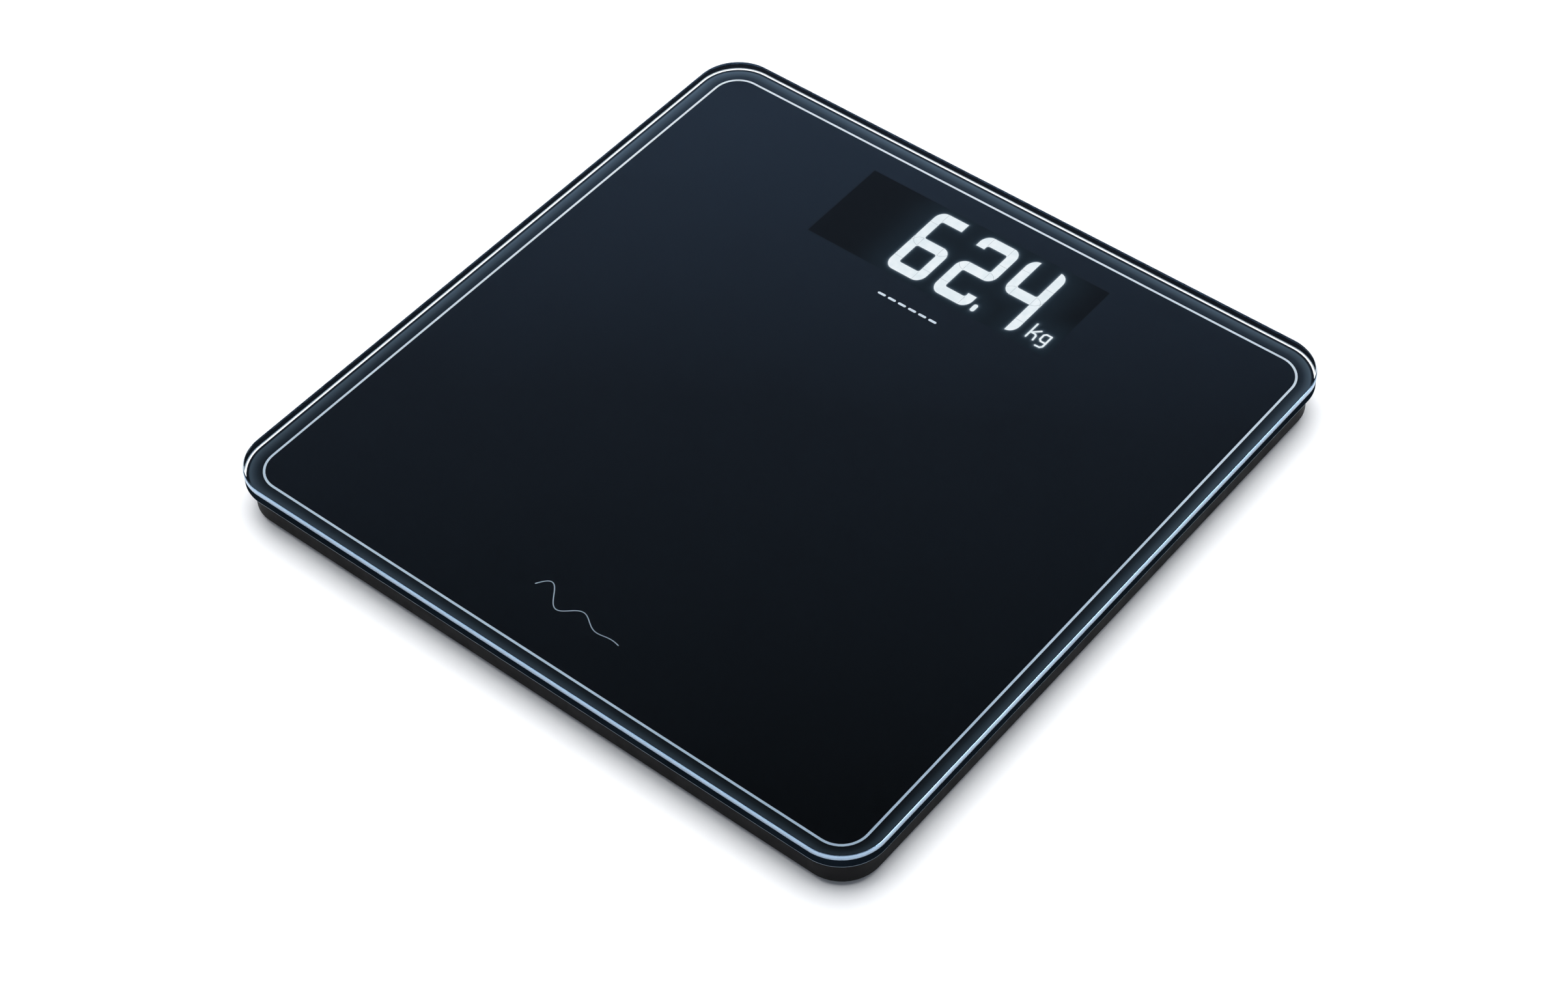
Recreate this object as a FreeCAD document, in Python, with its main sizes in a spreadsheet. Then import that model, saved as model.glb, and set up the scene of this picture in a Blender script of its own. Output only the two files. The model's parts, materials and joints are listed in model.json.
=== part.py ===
import FreeCAD, Part
import math
import os
import Sketcher

# Digital bathroom scale: a glass platform bonded to a shallow moulded tray that stands on
# four weighing feet.  The origin is on the floor under the platform's centre, +X is the
# user's right, +Y points away from the user towards the display, +Z is up.  Millimetres.

DIMENSIONS = [
    ("overall_height", 26.4, "floor to the top of the glass"),
    ("glass_width", 350.0, "platform along X"),
    ("glass_depth", 350.0, "platform along Y"),
    ("glass_thickness", 8.0, "toughened platform glass"),
    ("glass_corner", 22.0, "plan corner radius of the glass"),
    ("glass_top_round", 0.8, "polished edge, upper rounding"),
    ("glass_under_round", 0.5, "polished edge, lower rounding"),
    ("print_inset", 1.1, "black back print, in from the glass edge"),
    ("print_thickness", 0.2, "black back print"),
    ("line_inset", 8.8, "centre of the silver line, in from the glass edge"),
    ("line_width", 1.1, "silver line"),
    ("line_thickness", 0.05, "silver ink under the glass"),
    ("window_width", 136.0, "display window along X"),
    ("window_depth", 51.0, "display window along Y"),
    ("window_corner", 2.0, "display window corner radius"),
    ("window_centre", 127.4, "window and display centre along Y"),
    ("tape_thickness", 0.45, "foam bonding tape"),
    ("tape_width", 6.0, "bonding tape ring"),
    ("tape_margin", 1.0, "tape ring, in from the tray's outside"),
    ("tray_inset", 3.2, "tray wall, in from the glass edge"),
    ("tray_underside", 3.0, "gap between tray and floor"),
    ("tray_wall", 2.0, "side wall"),
    ("tray_floor", 2.0, "tray floor"),
    ("tray_chamfer", 1.2, "lower outside edge"),
    ("flange_width", 7.0, "bonding flange, from the tray's outside inwards"),
    ("flange_thickness", 1.6, "bonding flange"),
    ("pillar_radius", 5.0, "glass support pillars"),
    ("pillar_reach", 95.0, "pillar grid, half spacing along X"),
    ("pillar_row", 50.0, "pillar grid, half spacing along Y"),
    ("foot_inset", 38.0, "foot centre, in from the glass edge"),
    ("foot_opening", 14.7, "radius of the tray's foot opening"),
    ("foot_radius", 14.0, "foot cap"),
    ("foot_underside", 1.4, "foot cap above the floor"),
    ("foot_flange", 2.6, "foot cap disc thickness"),
    ("foot_boss", 6.0, "radius of the boss under the load cell"),
    ("foot_spigot", 1.5, "radius of the spigot through the load cell"),
    ("pad_radius", 13.0, "rubber pad"),
    ("pad_height", 2.2, "rubber pad"),
    ("pad_groove", 0.5, "depth of the pad's tread grooves"),
    ("foot_drop", 0.6, "how far a foot hangs down when the scale is lifted"),
    ("stake_radius", 2.6, "staked head that keeps the foot on its load cell"),
    ("stake_height", 0.5, "staked head"),
    ("rim_size", 42.0, "square seat under each load cell"),
    ("cell_size", 38.0, "load cell"),
    ("cell_thickness", 2.0, "load cell sheet"),
    ("cell_seat", 8.0, "height of the load cell's underside"),
    ("cell_corner", 4.0, "load cell corner radius"),
    ("cell_frame", 4.5, "width of the load cell's outer frame"),
    ("cell_slot", 2.5, "slots that free the load cell's tongue"),
    ("cell_tongue", 14.0, "width of the tongue"),
    ("spigot_hole", 1.6, "radius of the hole in the tongue"),
    ("gauge_length", 5.0, "potted strain gauge"),
    ("gauge_width", 8.0, "potted strain gauge"),
    ("gauge_height", 0.8, "potted strain gauge"),
    ("gauge_reach", 10.5, "gauge centre from the foot axis"),
    ("retainer_thickness", 1.6, "clamp frame over the load cell"),
    ("retainer_width", 5.0, "clamp frame border"),
    ("ear_reach", 24.5, "retainer screw from the foot axis"),
    ("ear_radius", 4.0, "retainer ear and its boss"),
    ("screw_radius", 1.3, "screw shank"),
    ("screw_head", 2.5, "screw head radius"),
    ("screw_head_height", 1.4, "screw head"),
    ("screw_hole", 1.45, "hole radius for a screw"),
    ("screw_length", 5.5, "screw shank length"),
    ("lead_radius", 0.8, "sheathed load cell lead"),
    ("lead_height", 6.4, "centre line of every lead above the floor"),
    ("bay_centre", 10.0, "battery bay centre along Y"),
    ("bay_length", 52.0, "battery bay inside along X"),
    ("bay_depth", 34.4, "battery bay inside along Y"),
    ("bay_wall", 1.5, "battery bay wall"),
    ("bay_top", 15.0, "top of the battery bay wall"),
    ("door_ledge", 1.2, "how far the bay wall overhangs the door"),
    ("door_recess", 1.65, "depth of the door recess"),
    ("door_thickness", 1.6, "battery door"),
    ("door_gap", 0.3, "gap round the battery door"),
    ("door_corner", 1.5, "battery door corner radius"),
    ("tab_width", 4.0, "door hooks"),
    ("tab_reach", 15.0, "door hooks from the centre line"),
    ("tab_thickness", 0.8, "door hooks"),
    ("tab_overhang", 2.1, "how far a hook reaches over the tray floor"),
    ("tab_slot_top", 7.4, "top of the hook slots in the bay wall"),
    ("latch_width", 12.0, "snap tongue of the door"),
    ("latch_length", 7.0, "snap tongue of the door"),
    ("latch_slot", 0.8, "slots beside the snap tongue"),
    ("finger_radius", 7.0, "finger scoop beside the latch"),
    ("finger_depth", 0.9, "finger scoop"),
    ("battery_radius", 5.15, "AAA cell"),
    ("battery_can", 43.4, "AAA cell without its terminal"),
    ("battery_terminal", 1.1, "AAA positive terminal length"),
    ("terminal_radius", 1.9, "AAA positive terminal radius"),
    ("battery_pitch", 11.0, "spacing of the cells"),
    ("battery_height", 9.95, "centre line of the cells above the floor"),
    ("contact_thickness", 0.3, "contact plates"),
    ("contact_size", 8.0, "contact plates"),
    ("spring_width", 7.0, "leaf springs, along Y"),
    ("spring_height", 5.0, "leaf springs, along Z"),
    ("spring_strip", 0.4, "leaf spring strip"),
    ("board_centre", 66.0, "main board centre along Y"),
    ("board_width", 60.0, "main board"),
    ("board_depth", 26.0, "main board"),
    ("board_thickness", 1.6, "circuit boards"),
    ("board_height", 10.4, "underside of the main board"),
    ("board_post", 3.0, "board posts"),
    ("plug_length", 6.0, "lead connectors"),
    ("plug_width", 6.0, "lead connectors"),
    ("plug_height", 4.8, "lead connectors"),
    ("plug_spread", 8.0, "lead connectors from the board's centre line"),
    ("button_radius", 3.0, "unit button"),
    ("button_hole", 3.4, "unit button hole"),
    ("button_flange", 4.6, "unit button flange"),
    ("button_face", 3.2, "unit button face above the floor"),
    ("button_top", 6.2, "unit button nub above the floor"),
    ("button_dish", 6.5, "dish round the unit button"),
    ("button_travel", 0.5, "unit button"),
    ("switch_size", 6.0, "push switch"),
    ("switch_height", 3.2, "push switch body"),
    ("switch_plunger", 0.45, "push switch plunger"),
    ("display_width", 134.0, "display housing"),
    ("display_depth", 49.0, "display housing"),
    ("display_top", 17.9, "top of the display housing"),
    ("display_board_height", 6.6, "underside of the display board"),
    ("display_board_width", 152.0, "display board"),
    ("gasket_width", 1.4, "foam gasket round the display"),
    ("digit_width", 20.8, "numeral"),
    ("digit_height", 44.4, "numeral"),
    ("digit_pitch", 26.55, "numeral spacing"),
    ("digit_start", -52.5, "left edge of the first numeral"),
    ("stroke_across", 5.8, "height of a horizontal segment"),
    ("stroke_down", 4.7, "width of a vertical segment"),
    ("segment_seam", 0.35, "web between two segments"),
    ("segment_depth", 4.0, "light pipes"),
    ("ribbon_width", 22.0, "display ribbon cable"),
    ("ribbon_thickness", 0.4, "display ribbon cable"),
]

doc = FreeCAD.newDocument("bathroom_scale")
sheet = doc.addObject("Spreadsheet::Sheet", "Dims")
for row, (alias, size, meaning) in enumerate(DIMENSIONS, start=1):
    sheet.set(f"A{row}", meaning)
    sheet.set(f"B{row}", str(size))
    sheet.setAlias(f"B{row}", alias)
doc.recompute()

SIDES = {
    "front_left": (-1, -1),
    "front_right": (1, -1),
    "rear_left": (-1, 1),
    "rear_right": (1, 1),
}
subparts = []

# Heights and half sizes that several pieces share, as expressions of the sheet.
GLASS_UNDER = "(Dims.overall_height - Dims.glass_thickness)"
PRINT_UNDER = f"({GLASS_UNDER} - Dims.print_thickness)"
TRAY_TOP = f"({PRINT_UNDER} - Dims.tape_thickness)"
FLOOR_TOP = "(Dims.tray_underside + Dims.tray_floor)"
TRAY_WIDTH = "(Dims.glass_width - 2 * Dims.tray_inset)"
TRAY_DEPTH = "(Dims.glass_depth - 2 * Dims.tray_inset)"
TRAY_CORNER = "(Dims.glass_corner - Dims.tray_inset)"
FOOT_X = "(Dims.glass_width / 2 - Dims.foot_inset)"
FOOT_Y = "(Dims.glass_depth / 2 - Dims.foot_inset)"
CELL_TOP = "(Dims.cell_seat + Dims.cell_thickness)"
RECESS_TOP = "(Dims.tray_underside + Dims.door_recess)"
RECESS_LENGTH = "(Dims.bay_length + 2 * Dims.door_ledge)"
RECESS_DEPTH = "(Dims.bay_depth + 2 * Dims.door_ledge)"
DISPLAY_BOARD_TOP = "(Dims.display_board_height + Dims.board_thickness)"


def value(expression):
    """The number that an expression of the sheet stands for."""
    return float(sheet.evalExpression(expression))


def signed(sign, expression):
    return f"({sign}) * {expression}"


# ---------------------------------------------------------------- sketches and features
def new_body(label):
    body = doc.addObject("PartDesign::Body", label)
    body.Label = label
    subparts.append(body)
    return body


def new_sketch(body, name, height, role="XY_Plane"):
    """A sketch parallel to one of the body's own origin planes."""
    sketch = body.newObject("Sketcher::SketchObject", name)
    plane = next(item for item in body.Origin.OriginFeatures if item.Role == role)
    sketch.AttachmentSupport = [(plane, "")]
    sketch.MapMode = "FlatFace"
    sketch.setExpression("AttachmentOffset.Base.z", height)
    return sketch


def constrain(sketch, kind, line, point, expression):
    """A signed distance from the origin to a line's point, driven by the sheet."""
    number = sketch.addConstraint(Sketcher.Constraint(kind, -1, 1, line, point, value(expression)))
    sketch.setExpression(f"Constraints[{number}]", expression)


def draw_rectangle(sketch, width, depth, x="0", y="0", radius=None):
    """A rectangle centred on x, y, with rounded corners where a radius is given."""
    half_x, half_y = value(width) / 2, value(depth) / 2
    centre_x, centre_y = value(x), value(y)
    round_off = value(radius) if radius else 0
    first = sketch.GeometryCount
    corners = [(-1, -1), (1, -1), (1, 1), (-1, 1)]
    for index, (side_x, side_y) in enumerate(corners):
        next_x, next_y = corners[(index + 1) % 4]
        along_x = round_off if side_x != next_x else 0
        along_y = round_off if side_y != next_y else 0
        start = FreeCAD.Vector(centre_x + side_x * (half_x - along_x), centre_y + side_y * (half_y - along_y), 0)
        end = FreeCAD.Vector(centre_x + next_x * (half_x - along_x), centre_y + next_y * (half_y - along_y), 0)
        sketch.addGeometry(Part.LineSegment(start, end))
    if radius:
        for index, (side_x, side_y) in enumerate(corners):
            middle = FreeCAD.Vector(
                centre_x + side_x * (half_x - round_off), centre_y + side_y * (half_y - round_off), 0)
            circle = Part.Circle(middle, FreeCAD.Vector(0, 0, 1), round_off)
            turn = math.pi + index * math.pi / 2
            sketch.addGeometry(Part.ArcOfCircle(circle, turn, turn + math.pi / 2))
        for index in range(4):
            arc = first + 4 + index
            sketch.addConstraint(Sketcher.Constraint("Tangent", first + (index + 3) % 4, 2, arc, 1))
            sketch.addConstraint(Sketcher.Constraint("Tangent", arc, 2, first + index, 1))
        for index in range(1, 4):
            sketch.addConstraint(Sketcher.Constraint("Equal", first + 4, first + 4 + index))
        number = sketch.addConstraint(Sketcher.Constraint("Radius", first + 4, round_off))
        sketch.setExpression(f"Constraints[{number}]", radius)
    else:
        for index in range(4):
            sketch.addConstraint(
                Sketcher.Constraint("Coincident", first + index, 2, first + (index + 1) % 4, 1))
    for index, kind in enumerate(["Horizontal", "Vertical", "Horizontal", "Vertical"]):
        sketch.addConstraint(Sketcher.Constraint(kind, first + index))
    constrain(sketch, "DistanceY", first, 1, f"{y} - {depth} / 2")
    constrain(sketch, "DistanceX", first + 1, 1, f"{x} + {width} / 2")
    constrain(sketch, "DistanceY", first + 2, 1, f"{y} + {depth} / 2")
    constrain(sketch, "DistanceX", first + 3, 1, f"{x} - {width} / 2")


def draw_circle(sketch, radius, x="0", y="0"):
    centre = FreeCAD.Vector(value(x), value(y), 0)
    circle = sketch.addGeometry(Part.Circle(centre, FreeCAD.Vector(0, 0, 1), value(radius)))
    constrain(sketch, "DistanceX", circle, 3, x)
    constrain(sketch, "DistanceY", circle, 3, y)
    number = sketch.addConstraint(Sketcher.Constraint("Radius", circle, value(radius)))
    sketch.setExpression(f"Constraints[{number}]", radius)


def draw_outline(sketch, points):
    """A closed outline of straight lines through points given as pairs of expressions."""
    places = [FreeCAD.Vector(value(x), value(y), 0) for x, y in points]
    first = sketch.GeometryCount
    for index, place in enumerate(places):
        sketch.addGeometry(Part.LineSegment(place, places[(index + 1) % len(places)]))
    for index, (x, y) in enumerate(points):
        sketch.addConstraint(
            Sketcher.Constraint("Coincident", first + index - 1 if index else first + len(points) - 1, 2,
                                first + index, 1))
        constrain(sketch, "DistanceX", first + index, 1, x)
        constrain(sketch, "DistanceY", first + index, 1, y)


def pad(body, name, sketch, length):
    """Material from the sketch upwards, or forwards from an upright sketch."""
    feature = body.newObject("PartDesign::Pad", name)
    feature.Profile = sketch
    feature.setExpression("Length", length)
    body.Tip = feature
    return feature


def pocket(body, name, sketch, length):
    """A cut from the sketch downwards, which has to take material away."""
    doc.recompute()
    before = body.Shape.Volume
    feature = body.newObject("PartDesign::Pocket", name)
    feature.Profile = sketch
    feature.setExpression("Length", length)
    body.Tip = feature
    doc.recompute()
    if not body.Shape.Volume < before:
        raise RuntimeError(f"{body.Label}: {name} cuts nothing")
    return feature


def plate(label, width, depth, height, thickness, radius=None, x="0", y="0"):
    """A flat plate that lies at a height."""
    body = new_body(label)
    sketch = new_sketch(body, f"{label}_outline", height)
    draw_rectangle(sketch, width, depth, x, y, radius)
    pad(body, f"{label}_plate", sketch, thickness)
    return body


def round_edges(body, kind, name, size, chosen):
    """A fillet or chamfer on the edges that a test chooses."""
    doc.recompute()
    edges = [f"Edge{index}" for index, edge in enumerate(body.Shape.Edges, start=1) if chosen(edge)]
    base = body.Tip
    feature = body.newObject(f"PartDesign::{kind}", name)
    feature.Base = (base, edges)
    feature.setExpression("Radius" if kind == "Fillet" else "Size", size)
    body.Tip = feature
    return feature


def at_height(height, outside=0.0):
    """A test for level edges at a height, at least so far from the centre."""
    level = value(height)

    def chosen(edge):
        box = edge.BoundBox
        reach = max(abs(box.XMin), abs(box.XMax), abs(box.YMin), abs(box.YMax))
        return abs(box.ZMin - level) < 1e-4 and abs(box.ZMax - level) < 1e-4 and reach > outside

    return chosen


def primitive(kind, name, sizes, place=("0", "0", "0"), turn=None):
    """A Part primitive whose sizes and place follow the sheet."""
    item = doc.addObject(f"Part::{kind}", name)
    for size, expression in sizes.items():
        item.setExpression(size, expression)
    if turn:
        item.Placement = FreeCAD.Placement(FreeCAD.Vector(), turn)
    for axis, expression in zip("xyz", place):
        item.setExpression(f"Placement.Base.{axis}", expression)
    return item


def block(name, width, depth, height, x, y, z):
    """A box centred on x, y that stands on z."""
    place = (f"{x} - {width} / 2", f"{y} - {depth} / 2", z)
    return primitive("Box", name, {"Length": width, "Width": depth, "Height": height}, place)


def group(label, items):
    """Separate solids that share one node."""
    compound = doc.addObject("Part::Compound", label)
    compound.Label = label
    compound.Links = items
    subparts.append(compound)
    return compound


def joined(name, items, own_node=True):
    fused = doc.addObject("Part::MultiFuse", name)
    fused.Shapes = items
    if own_node:
        fused.Label = name
        subparts.append(fused)
    return fused


def free_shape(label, shape):
    """A sub-part whose form no feature or primitive gives."""
    feature = doc.addObject("Part::Feature", label)
    feature.Label = label
    feature.Shape = shape
    feature.Placement = FreeCAD.Placement()
    subparts.append(feature)
    return feature


# ---------------------------------------------------------------- platform
def make_glass():
    glass = plate("glass_platform", "Dims.glass_width", "Dims.glass_depth", GLASS_UNDER,
                  "Dims.glass_thickness", "Dims.glass_corner")
    round_edges(glass, "Fillet", "polished_upper_edge", "Dims.glass_top_round", at_height("Dims.overall_height"))
    round_edges(glass, "Fillet", "polished_lower_edge", "Dims.glass_under_round", at_height(GLASS_UNDER))


def draw_line_ring(sketch):
    """The two sides of the silver line, which runs round near the platform's edge."""
    for side in ("+", "-"):
        inset = f"(Dims.line_inset {side} Dims.line_width / 2)"
        draw_rectangle(sketch, f"(Dims.glass_width - 2 * {inset})", f"(Dims.glass_depth - 2 * {inset})",
                       radius=f"(Dims.glass_corner - {inset})")


def make_prints():
    back = plate("back_print", "(Dims.glass_width - 2 * Dims.print_inset)",
                 "(Dims.glass_depth - 2 * Dims.print_inset)", PRINT_UNDER, "Dims.print_thickness",
                 "(Dims.glass_corner - Dims.print_inset)")
    window = new_sketch(back, "window_outline", GLASS_UNDER)
    draw_rectangle(window, "Dims.window_width", "Dims.window_depth", y="Dims.window_centre",
                   radius="Dims.window_corner")
    pocket(back, "window_opening", window, "Dims.print_thickness")
    groove = new_sketch(back, "groove_outline", GLASS_UNDER)
    draw_line_ring(groove)
    pocket(back, "line_groove", groove, "Dims.line_thickness")

    line = new_body("silver_line")
    ring = new_sketch(line, "line_outline", f"({GLASS_UNDER} - Dims.line_thickness)")
    draw_line_ring(ring)
    pad(line, "line_ink", ring, "Dims.line_thickness")

    plate("window_film", "Dims.window_width", "Dims.window_depth", PRINT_UNDER, "Dims.print_thickness",
          "Dims.window_corner", y="Dims.window_centre")


def pillar_places():
    """Support pillars: four in a grid, one near the front edge."""
    for side_x, side_y in SIDES.values():
        yield signed(side_x, "Dims.pillar_reach"), signed(side_y, "Dims.pillar_row")
    yield "0", "-Dims.pillar_reach"


def make_tape():
    tape = new_body("bonding_tape")
    sketch = new_sketch(tape, "tape_outline", TRAY_TOP)
    for inset in ("Dims.tape_margin", "(Dims.tape_margin + Dims.tape_width)"):
        draw_rectangle(sketch, f"({TRAY_WIDTH} - 2 * {inset})", f"({TRAY_DEPTH} - 2 * {inset})",
                       radius=f"({TRAY_CORNER} - {inset})")
    pad(tape, "tape_ring", sketch, "Dims.tape_thickness")
    dots = []
    for index, (x, y) in enumerate(pillar_places(), start=1):
        sizes = {"Radius": "Dims.pillar_radius - Dims.tape_margin", "Height": "Dims.tape_thickness"}
        dots.append(primitive("Cylinder", f"tape_dot_{index}", sizes, (x, y, TRAY_TOP)))
    group("pillar_tape", dots)


# ---------------------------------------------------------------- tray
def ear_places(side_x, side_y):
    """The two retainer screws of one foot, before and behind its load cell."""
    for end in (-1, 1):
        yield signed(side_x, FOOT_X), f"({signed(side_y, FOOT_Y)} + ({end}) * Dims.ear_reach)"


def display_post_places():
    for side_x, side_y in SIDES.values():
        yield (signed(side_x, "(Dims.display_board_width / 2 - Dims.board_post - 1)"),
               f"(Dims.window_centre + ({side_y}) * Dims.display_depth / 3)")


def board_post_places():
    for side in (-1, 1):
        yield signed(side, "(Dims.board_width / 2 - Dims.plug_length - 5)"), "Dims.board_centre"


def make_tray():
    tray = plate("base_tray", TRAY_WIDTH, TRAY_DEPTH, "Dims.tray_underside",
                 f"({TRAY_TOP} - Dims.tray_underside)", TRAY_CORNER)
    round_edges(tray, "Chamfer", "lower_edge", "Dims.tray_chamfer", at_height("Dims.tray_underside"))

    mouth = new_sketch(tray, "mouth_outline", TRAY_TOP)
    draw_rectangle(mouth, f"({TRAY_WIDTH} - 2 * Dims.flange_width)", f"({TRAY_DEPTH} - 2 * Dims.flange_width)",
                   radius=f"({TRAY_CORNER} - Dims.flange_width)")
    pocket(tray, "mouth", mouth, f"({TRAY_TOP} - {FLOOR_TOP})")
    under_flange = f"({TRAY_TOP} - Dims.flange_thickness)"
    inside = new_sketch(tray, "inside_outline", under_flange)
    draw_rectangle(inside, f"({TRAY_WIDTH} - 2 * Dims.tray_wall)", f"({TRAY_DEPTH} - 2 * Dims.tray_wall)",
                   radius=f"({TRAY_CORNER} - Dims.tray_wall)")
    pocket(tray, "inside", inside, f"({under_flange} - {FLOOR_TOP})")

    seats = new_sketch(tray, "seat_outlines", FLOOR_TOP)
    for side_x, side_y in SIDES.values():
        draw_rectangle(seats, "Dims.rim_size", "Dims.rim_size", signed(side_x, FOOT_X), signed(side_y, FOOT_Y))
    pad(tray, "cell_seats", seats, f"(Dims.cell_seat - {FLOOR_TOP})")
    bosses = new_sketch(tray, "boss_outlines", FLOOR_TOP)
    for side in SIDES.values():
        for x, y in ear_places(*side):
            draw_circle(bosses, "Dims.ear_radius", x, y)
    pad(tray, "retainer_bosses", bosses, f"({CELL_TOP} - {FLOOR_TOP})")
    pillars = new_sketch(tray, "pillar_outlines", FLOOR_TOP)
    for x, y in pillar_places():
        draw_circle(pillars, "Dims.pillar_radius", x, y)
    pad(tray, "pillars", pillars, f"({TRAY_TOP} - {FLOOR_TOP})")
    display_posts = new_sketch(tray, "display_post_outlines", FLOOR_TOP)
    for x, y in display_post_places():
        draw_circle(display_posts, "Dims.board_post", x, y)
    pad(tray, "display_posts", display_posts, f"(Dims.display_board_height - {FLOOR_TOP})")
    board_posts = new_sketch(tray, "board_post_outlines", FLOOR_TOP)
    for x, y in board_post_places():
        draw_circle(board_posts, "Dims.board_post", x, y)
    pad(tray, "board_posts", board_posts, f"(Dims.board_height - {FLOOR_TOP})")
    bay = new_sketch(tray, "bay_outline", FLOOR_TOP)
    draw_rectangle(bay, "(Dims.bay_length + 2 * Dims.bay_wall)", "(Dims.bay_depth + 2 * Dims.bay_wall)",
                   y="Dims.bay_centre", radius="Dims.bay_wall")
    pad(tray, "bay_block", bay, f"(Dims.bay_top - {FLOOR_TOP})")

    openings = new_sketch(tray, "foot_opening_outlines", "Dims.cell_seat")
    for side_x, side_y in SIDES.values():
        draw_circle(openings, "Dims.foot_opening", signed(side_x, FOOT_X), signed(side_y, FOOT_Y))
    pocket(tray, "foot_openings", openings, "(Dims.cell_seat - Dims.tray_underside)")
    notches = new_sketch(tray, "lead_notch_outlines", "Dims.cell_seat")
    for side_x, side_y in SIDES.values():
        reach = "(Dims.foot_opening + Dims.rim_size / 2) / 2"
        draw_rectangle(notches, "(Dims.rim_size / 2 - Dims.foot_opening + 3)", "(4 * Dims.lead_radius)",
                       f"({signed(side_x, FOOT_X)} - ({side_x}) * {reach})", signed(side_y, FOOT_Y))
    pocket(tray, "lead_notches", notches, f"(Dims.cell_seat - {FLOOR_TOP} - 0.2)")
    screw_holes = new_sketch(tray, "screw_hole_outlines", CELL_TOP)
    for side in SIDES.values():
        for x, y in ear_places(*side):
            draw_circle(screw_holes, "Dims.screw_hole", x, y)
    pocket(tray, "retainer_screw_holes", screw_holes, f"({CELL_TOP} - {FLOOR_TOP})")
    display_holes = new_sketch(tray, "display_hole_outlines", "Dims.display_board_height")
    for x, y in display_post_places():
        draw_circle(display_holes, "Dims.screw_hole", x, y)
    pocket(tray, "display_screw_holes", display_holes, "(Dims.display_board_height - Dims.tray_underside - 0.8)")
    board_holes = new_sketch(tray, "board_hole_outlines", "Dims.board_height")
    for x, y in board_post_places():
        draw_circle(board_holes, "Dims.screw_hole", x, y)
    pocket(tray, "board_screw_holes", board_holes, f"(Dims.board_height - {FLOOR_TOP})")

    cavity = new_sketch(tray, "bay_cavity_outline", "Dims.bay_top")
    draw_rectangle(cavity, "Dims.bay_length", "Dims.bay_depth", y="Dims.bay_centre")
    pocket(tray, "bay_cavity", cavity, f"(Dims.bay_top - {RECESS_TOP})")
    recess = new_sketch(tray, "door_recess_outline", RECESS_TOP)
    draw_rectangle(recess, RECESS_LENGTH, RECESS_DEPTH, y="Dims.bay_centre", radius="Dims.door_corner")
    pocket(tray, "door_recess", recess, "Dims.door_recess")
    hook_slots = new_sketch(tray, "hook_slot_outlines", "Dims.tab_slot_top")
    for side in (-1, 1):
        draw_rectangle(hook_slots, "(Dims.tab_width + 1)", "(Dims.bay_wall + 0.3)",
                       signed(side, "Dims.tab_reach"),
                       "(Dims.bay_centre - Dims.bay_depth / 2 - Dims.bay_wall / 2)")
    pocket(tray, "hook_slots", hook_slots, f"(Dims.tab_slot_top - {RECESS_TOP})")
    scoop = new_sketch(tray, "finger_scoop_outline", "(Dims.tray_underside + Dims.finger_depth)")
    draw_rectangle(scoop, "(2 * Dims.finger_radius)", "(1.5 * Dims.finger_radius)",
                   y=f"(Dims.bay_centre + {RECESS_DEPTH} / 2 + Dims.finger_radius / 2 - 0.5)",
                   radius="(Dims.finger_radius / 2)")
    pocket(tray, "finger_scoop", scoop, "Dims.finger_depth")
    button_hole = new_sketch(tray, "button_hole_outline", FLOOR_TOP)
    draw_circle(button_hole, "Dims.button_hole", "0", "Dims.board_centre")
    pocket(tray, "button_hole_cut", button_hole, "Dims.tray_floor")
    dish = new_sketch(tray, "button_dish_outline", "(Dims.tray_underside + 0.8)")
    draw_circle(dish, "Dims.button_dish", "0", "Dims.board_centre")
    pocket(tray, "button_dish_cut", dish, "0.8")


# ---------------------------------------------------------------- feet and load cells
def make_foot(name, side_x, side_y):
    x, y = signed(side_x, FOOT_X), signed(side_y, FOOT_Y)
    foot = new_body(f"foot_{name}")
    disc = new_sketch(foot, f"foot_disc_{name}", "Dims.foot_underside")
    draw_circle(disc, "Dims.foot_radius", x, y)
    pad(foot, f"foot_plate_{name}", disc, "Dims.foot_flange")
    foot_top = "(Dims.foot_underside + Dims.foot_flange)"
    boss = new_sketch(foot, f"foot_boss_{name}", foot_top)
    draw_circle(boss, "Dims.foot_boss", x, y)
    pad(foot, f"foot_boss_pad_{name}", boss, f"(Dims.cell_seat - {foot_top})")
    spigot = new_sketch(foot, f"foot_spigot_{name}", "Dims.cell_seat")
    draw_circle(spigot, "Dims.foot_spigot", x, y)
    pad(foot, f"foot_spigot_pad_{name}", spigot, "(Dims.cell_thickness + Dims.foot_drop + 0.05)")
    stake = new_sketch(foot, f"foot_stake_{name}", f"({CELL_TOP} + Dims.foot_drop + 0.05)")
    draw_circle(stake, "Dims.stake_radius", x, y)
    pad(foot, f"foot_stake_pad_{name}", stake, "Dims.stake_height")
    socket = new_sketch(foot, f"pad_socket_{name}", "Dims.pad_height")
    draw_circle(socket, "Dims.pad_radius + 0.1", x, y)
    pocket(foot, f"pad_socket_cut_{name}", socket, "(Dims.pad_height - Dims.foot_underside)")

    rubber = new_body(f"foot_pad_{name}")
    face = new_sketch(rubber, f"pad_outline_{name}", "0")
    draw_circle(face, "Dims.pad_radius", x, y)
    pad(rubber, f"pad_disc_{name}", face, "Dims.pad_height")
    tread = new_sketch(rubber, f"pad_tread_{name}", "Dims.pad_groove")
    for share in ("0.30", "0.38", "0.62", "0.70"):
        draw_circle(tread, f"Dims.pad_radius * {share}", x, y)
    pocket(rubber, f"pad_grooves_{name}", tread, "Dims.pad_groove")


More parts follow.
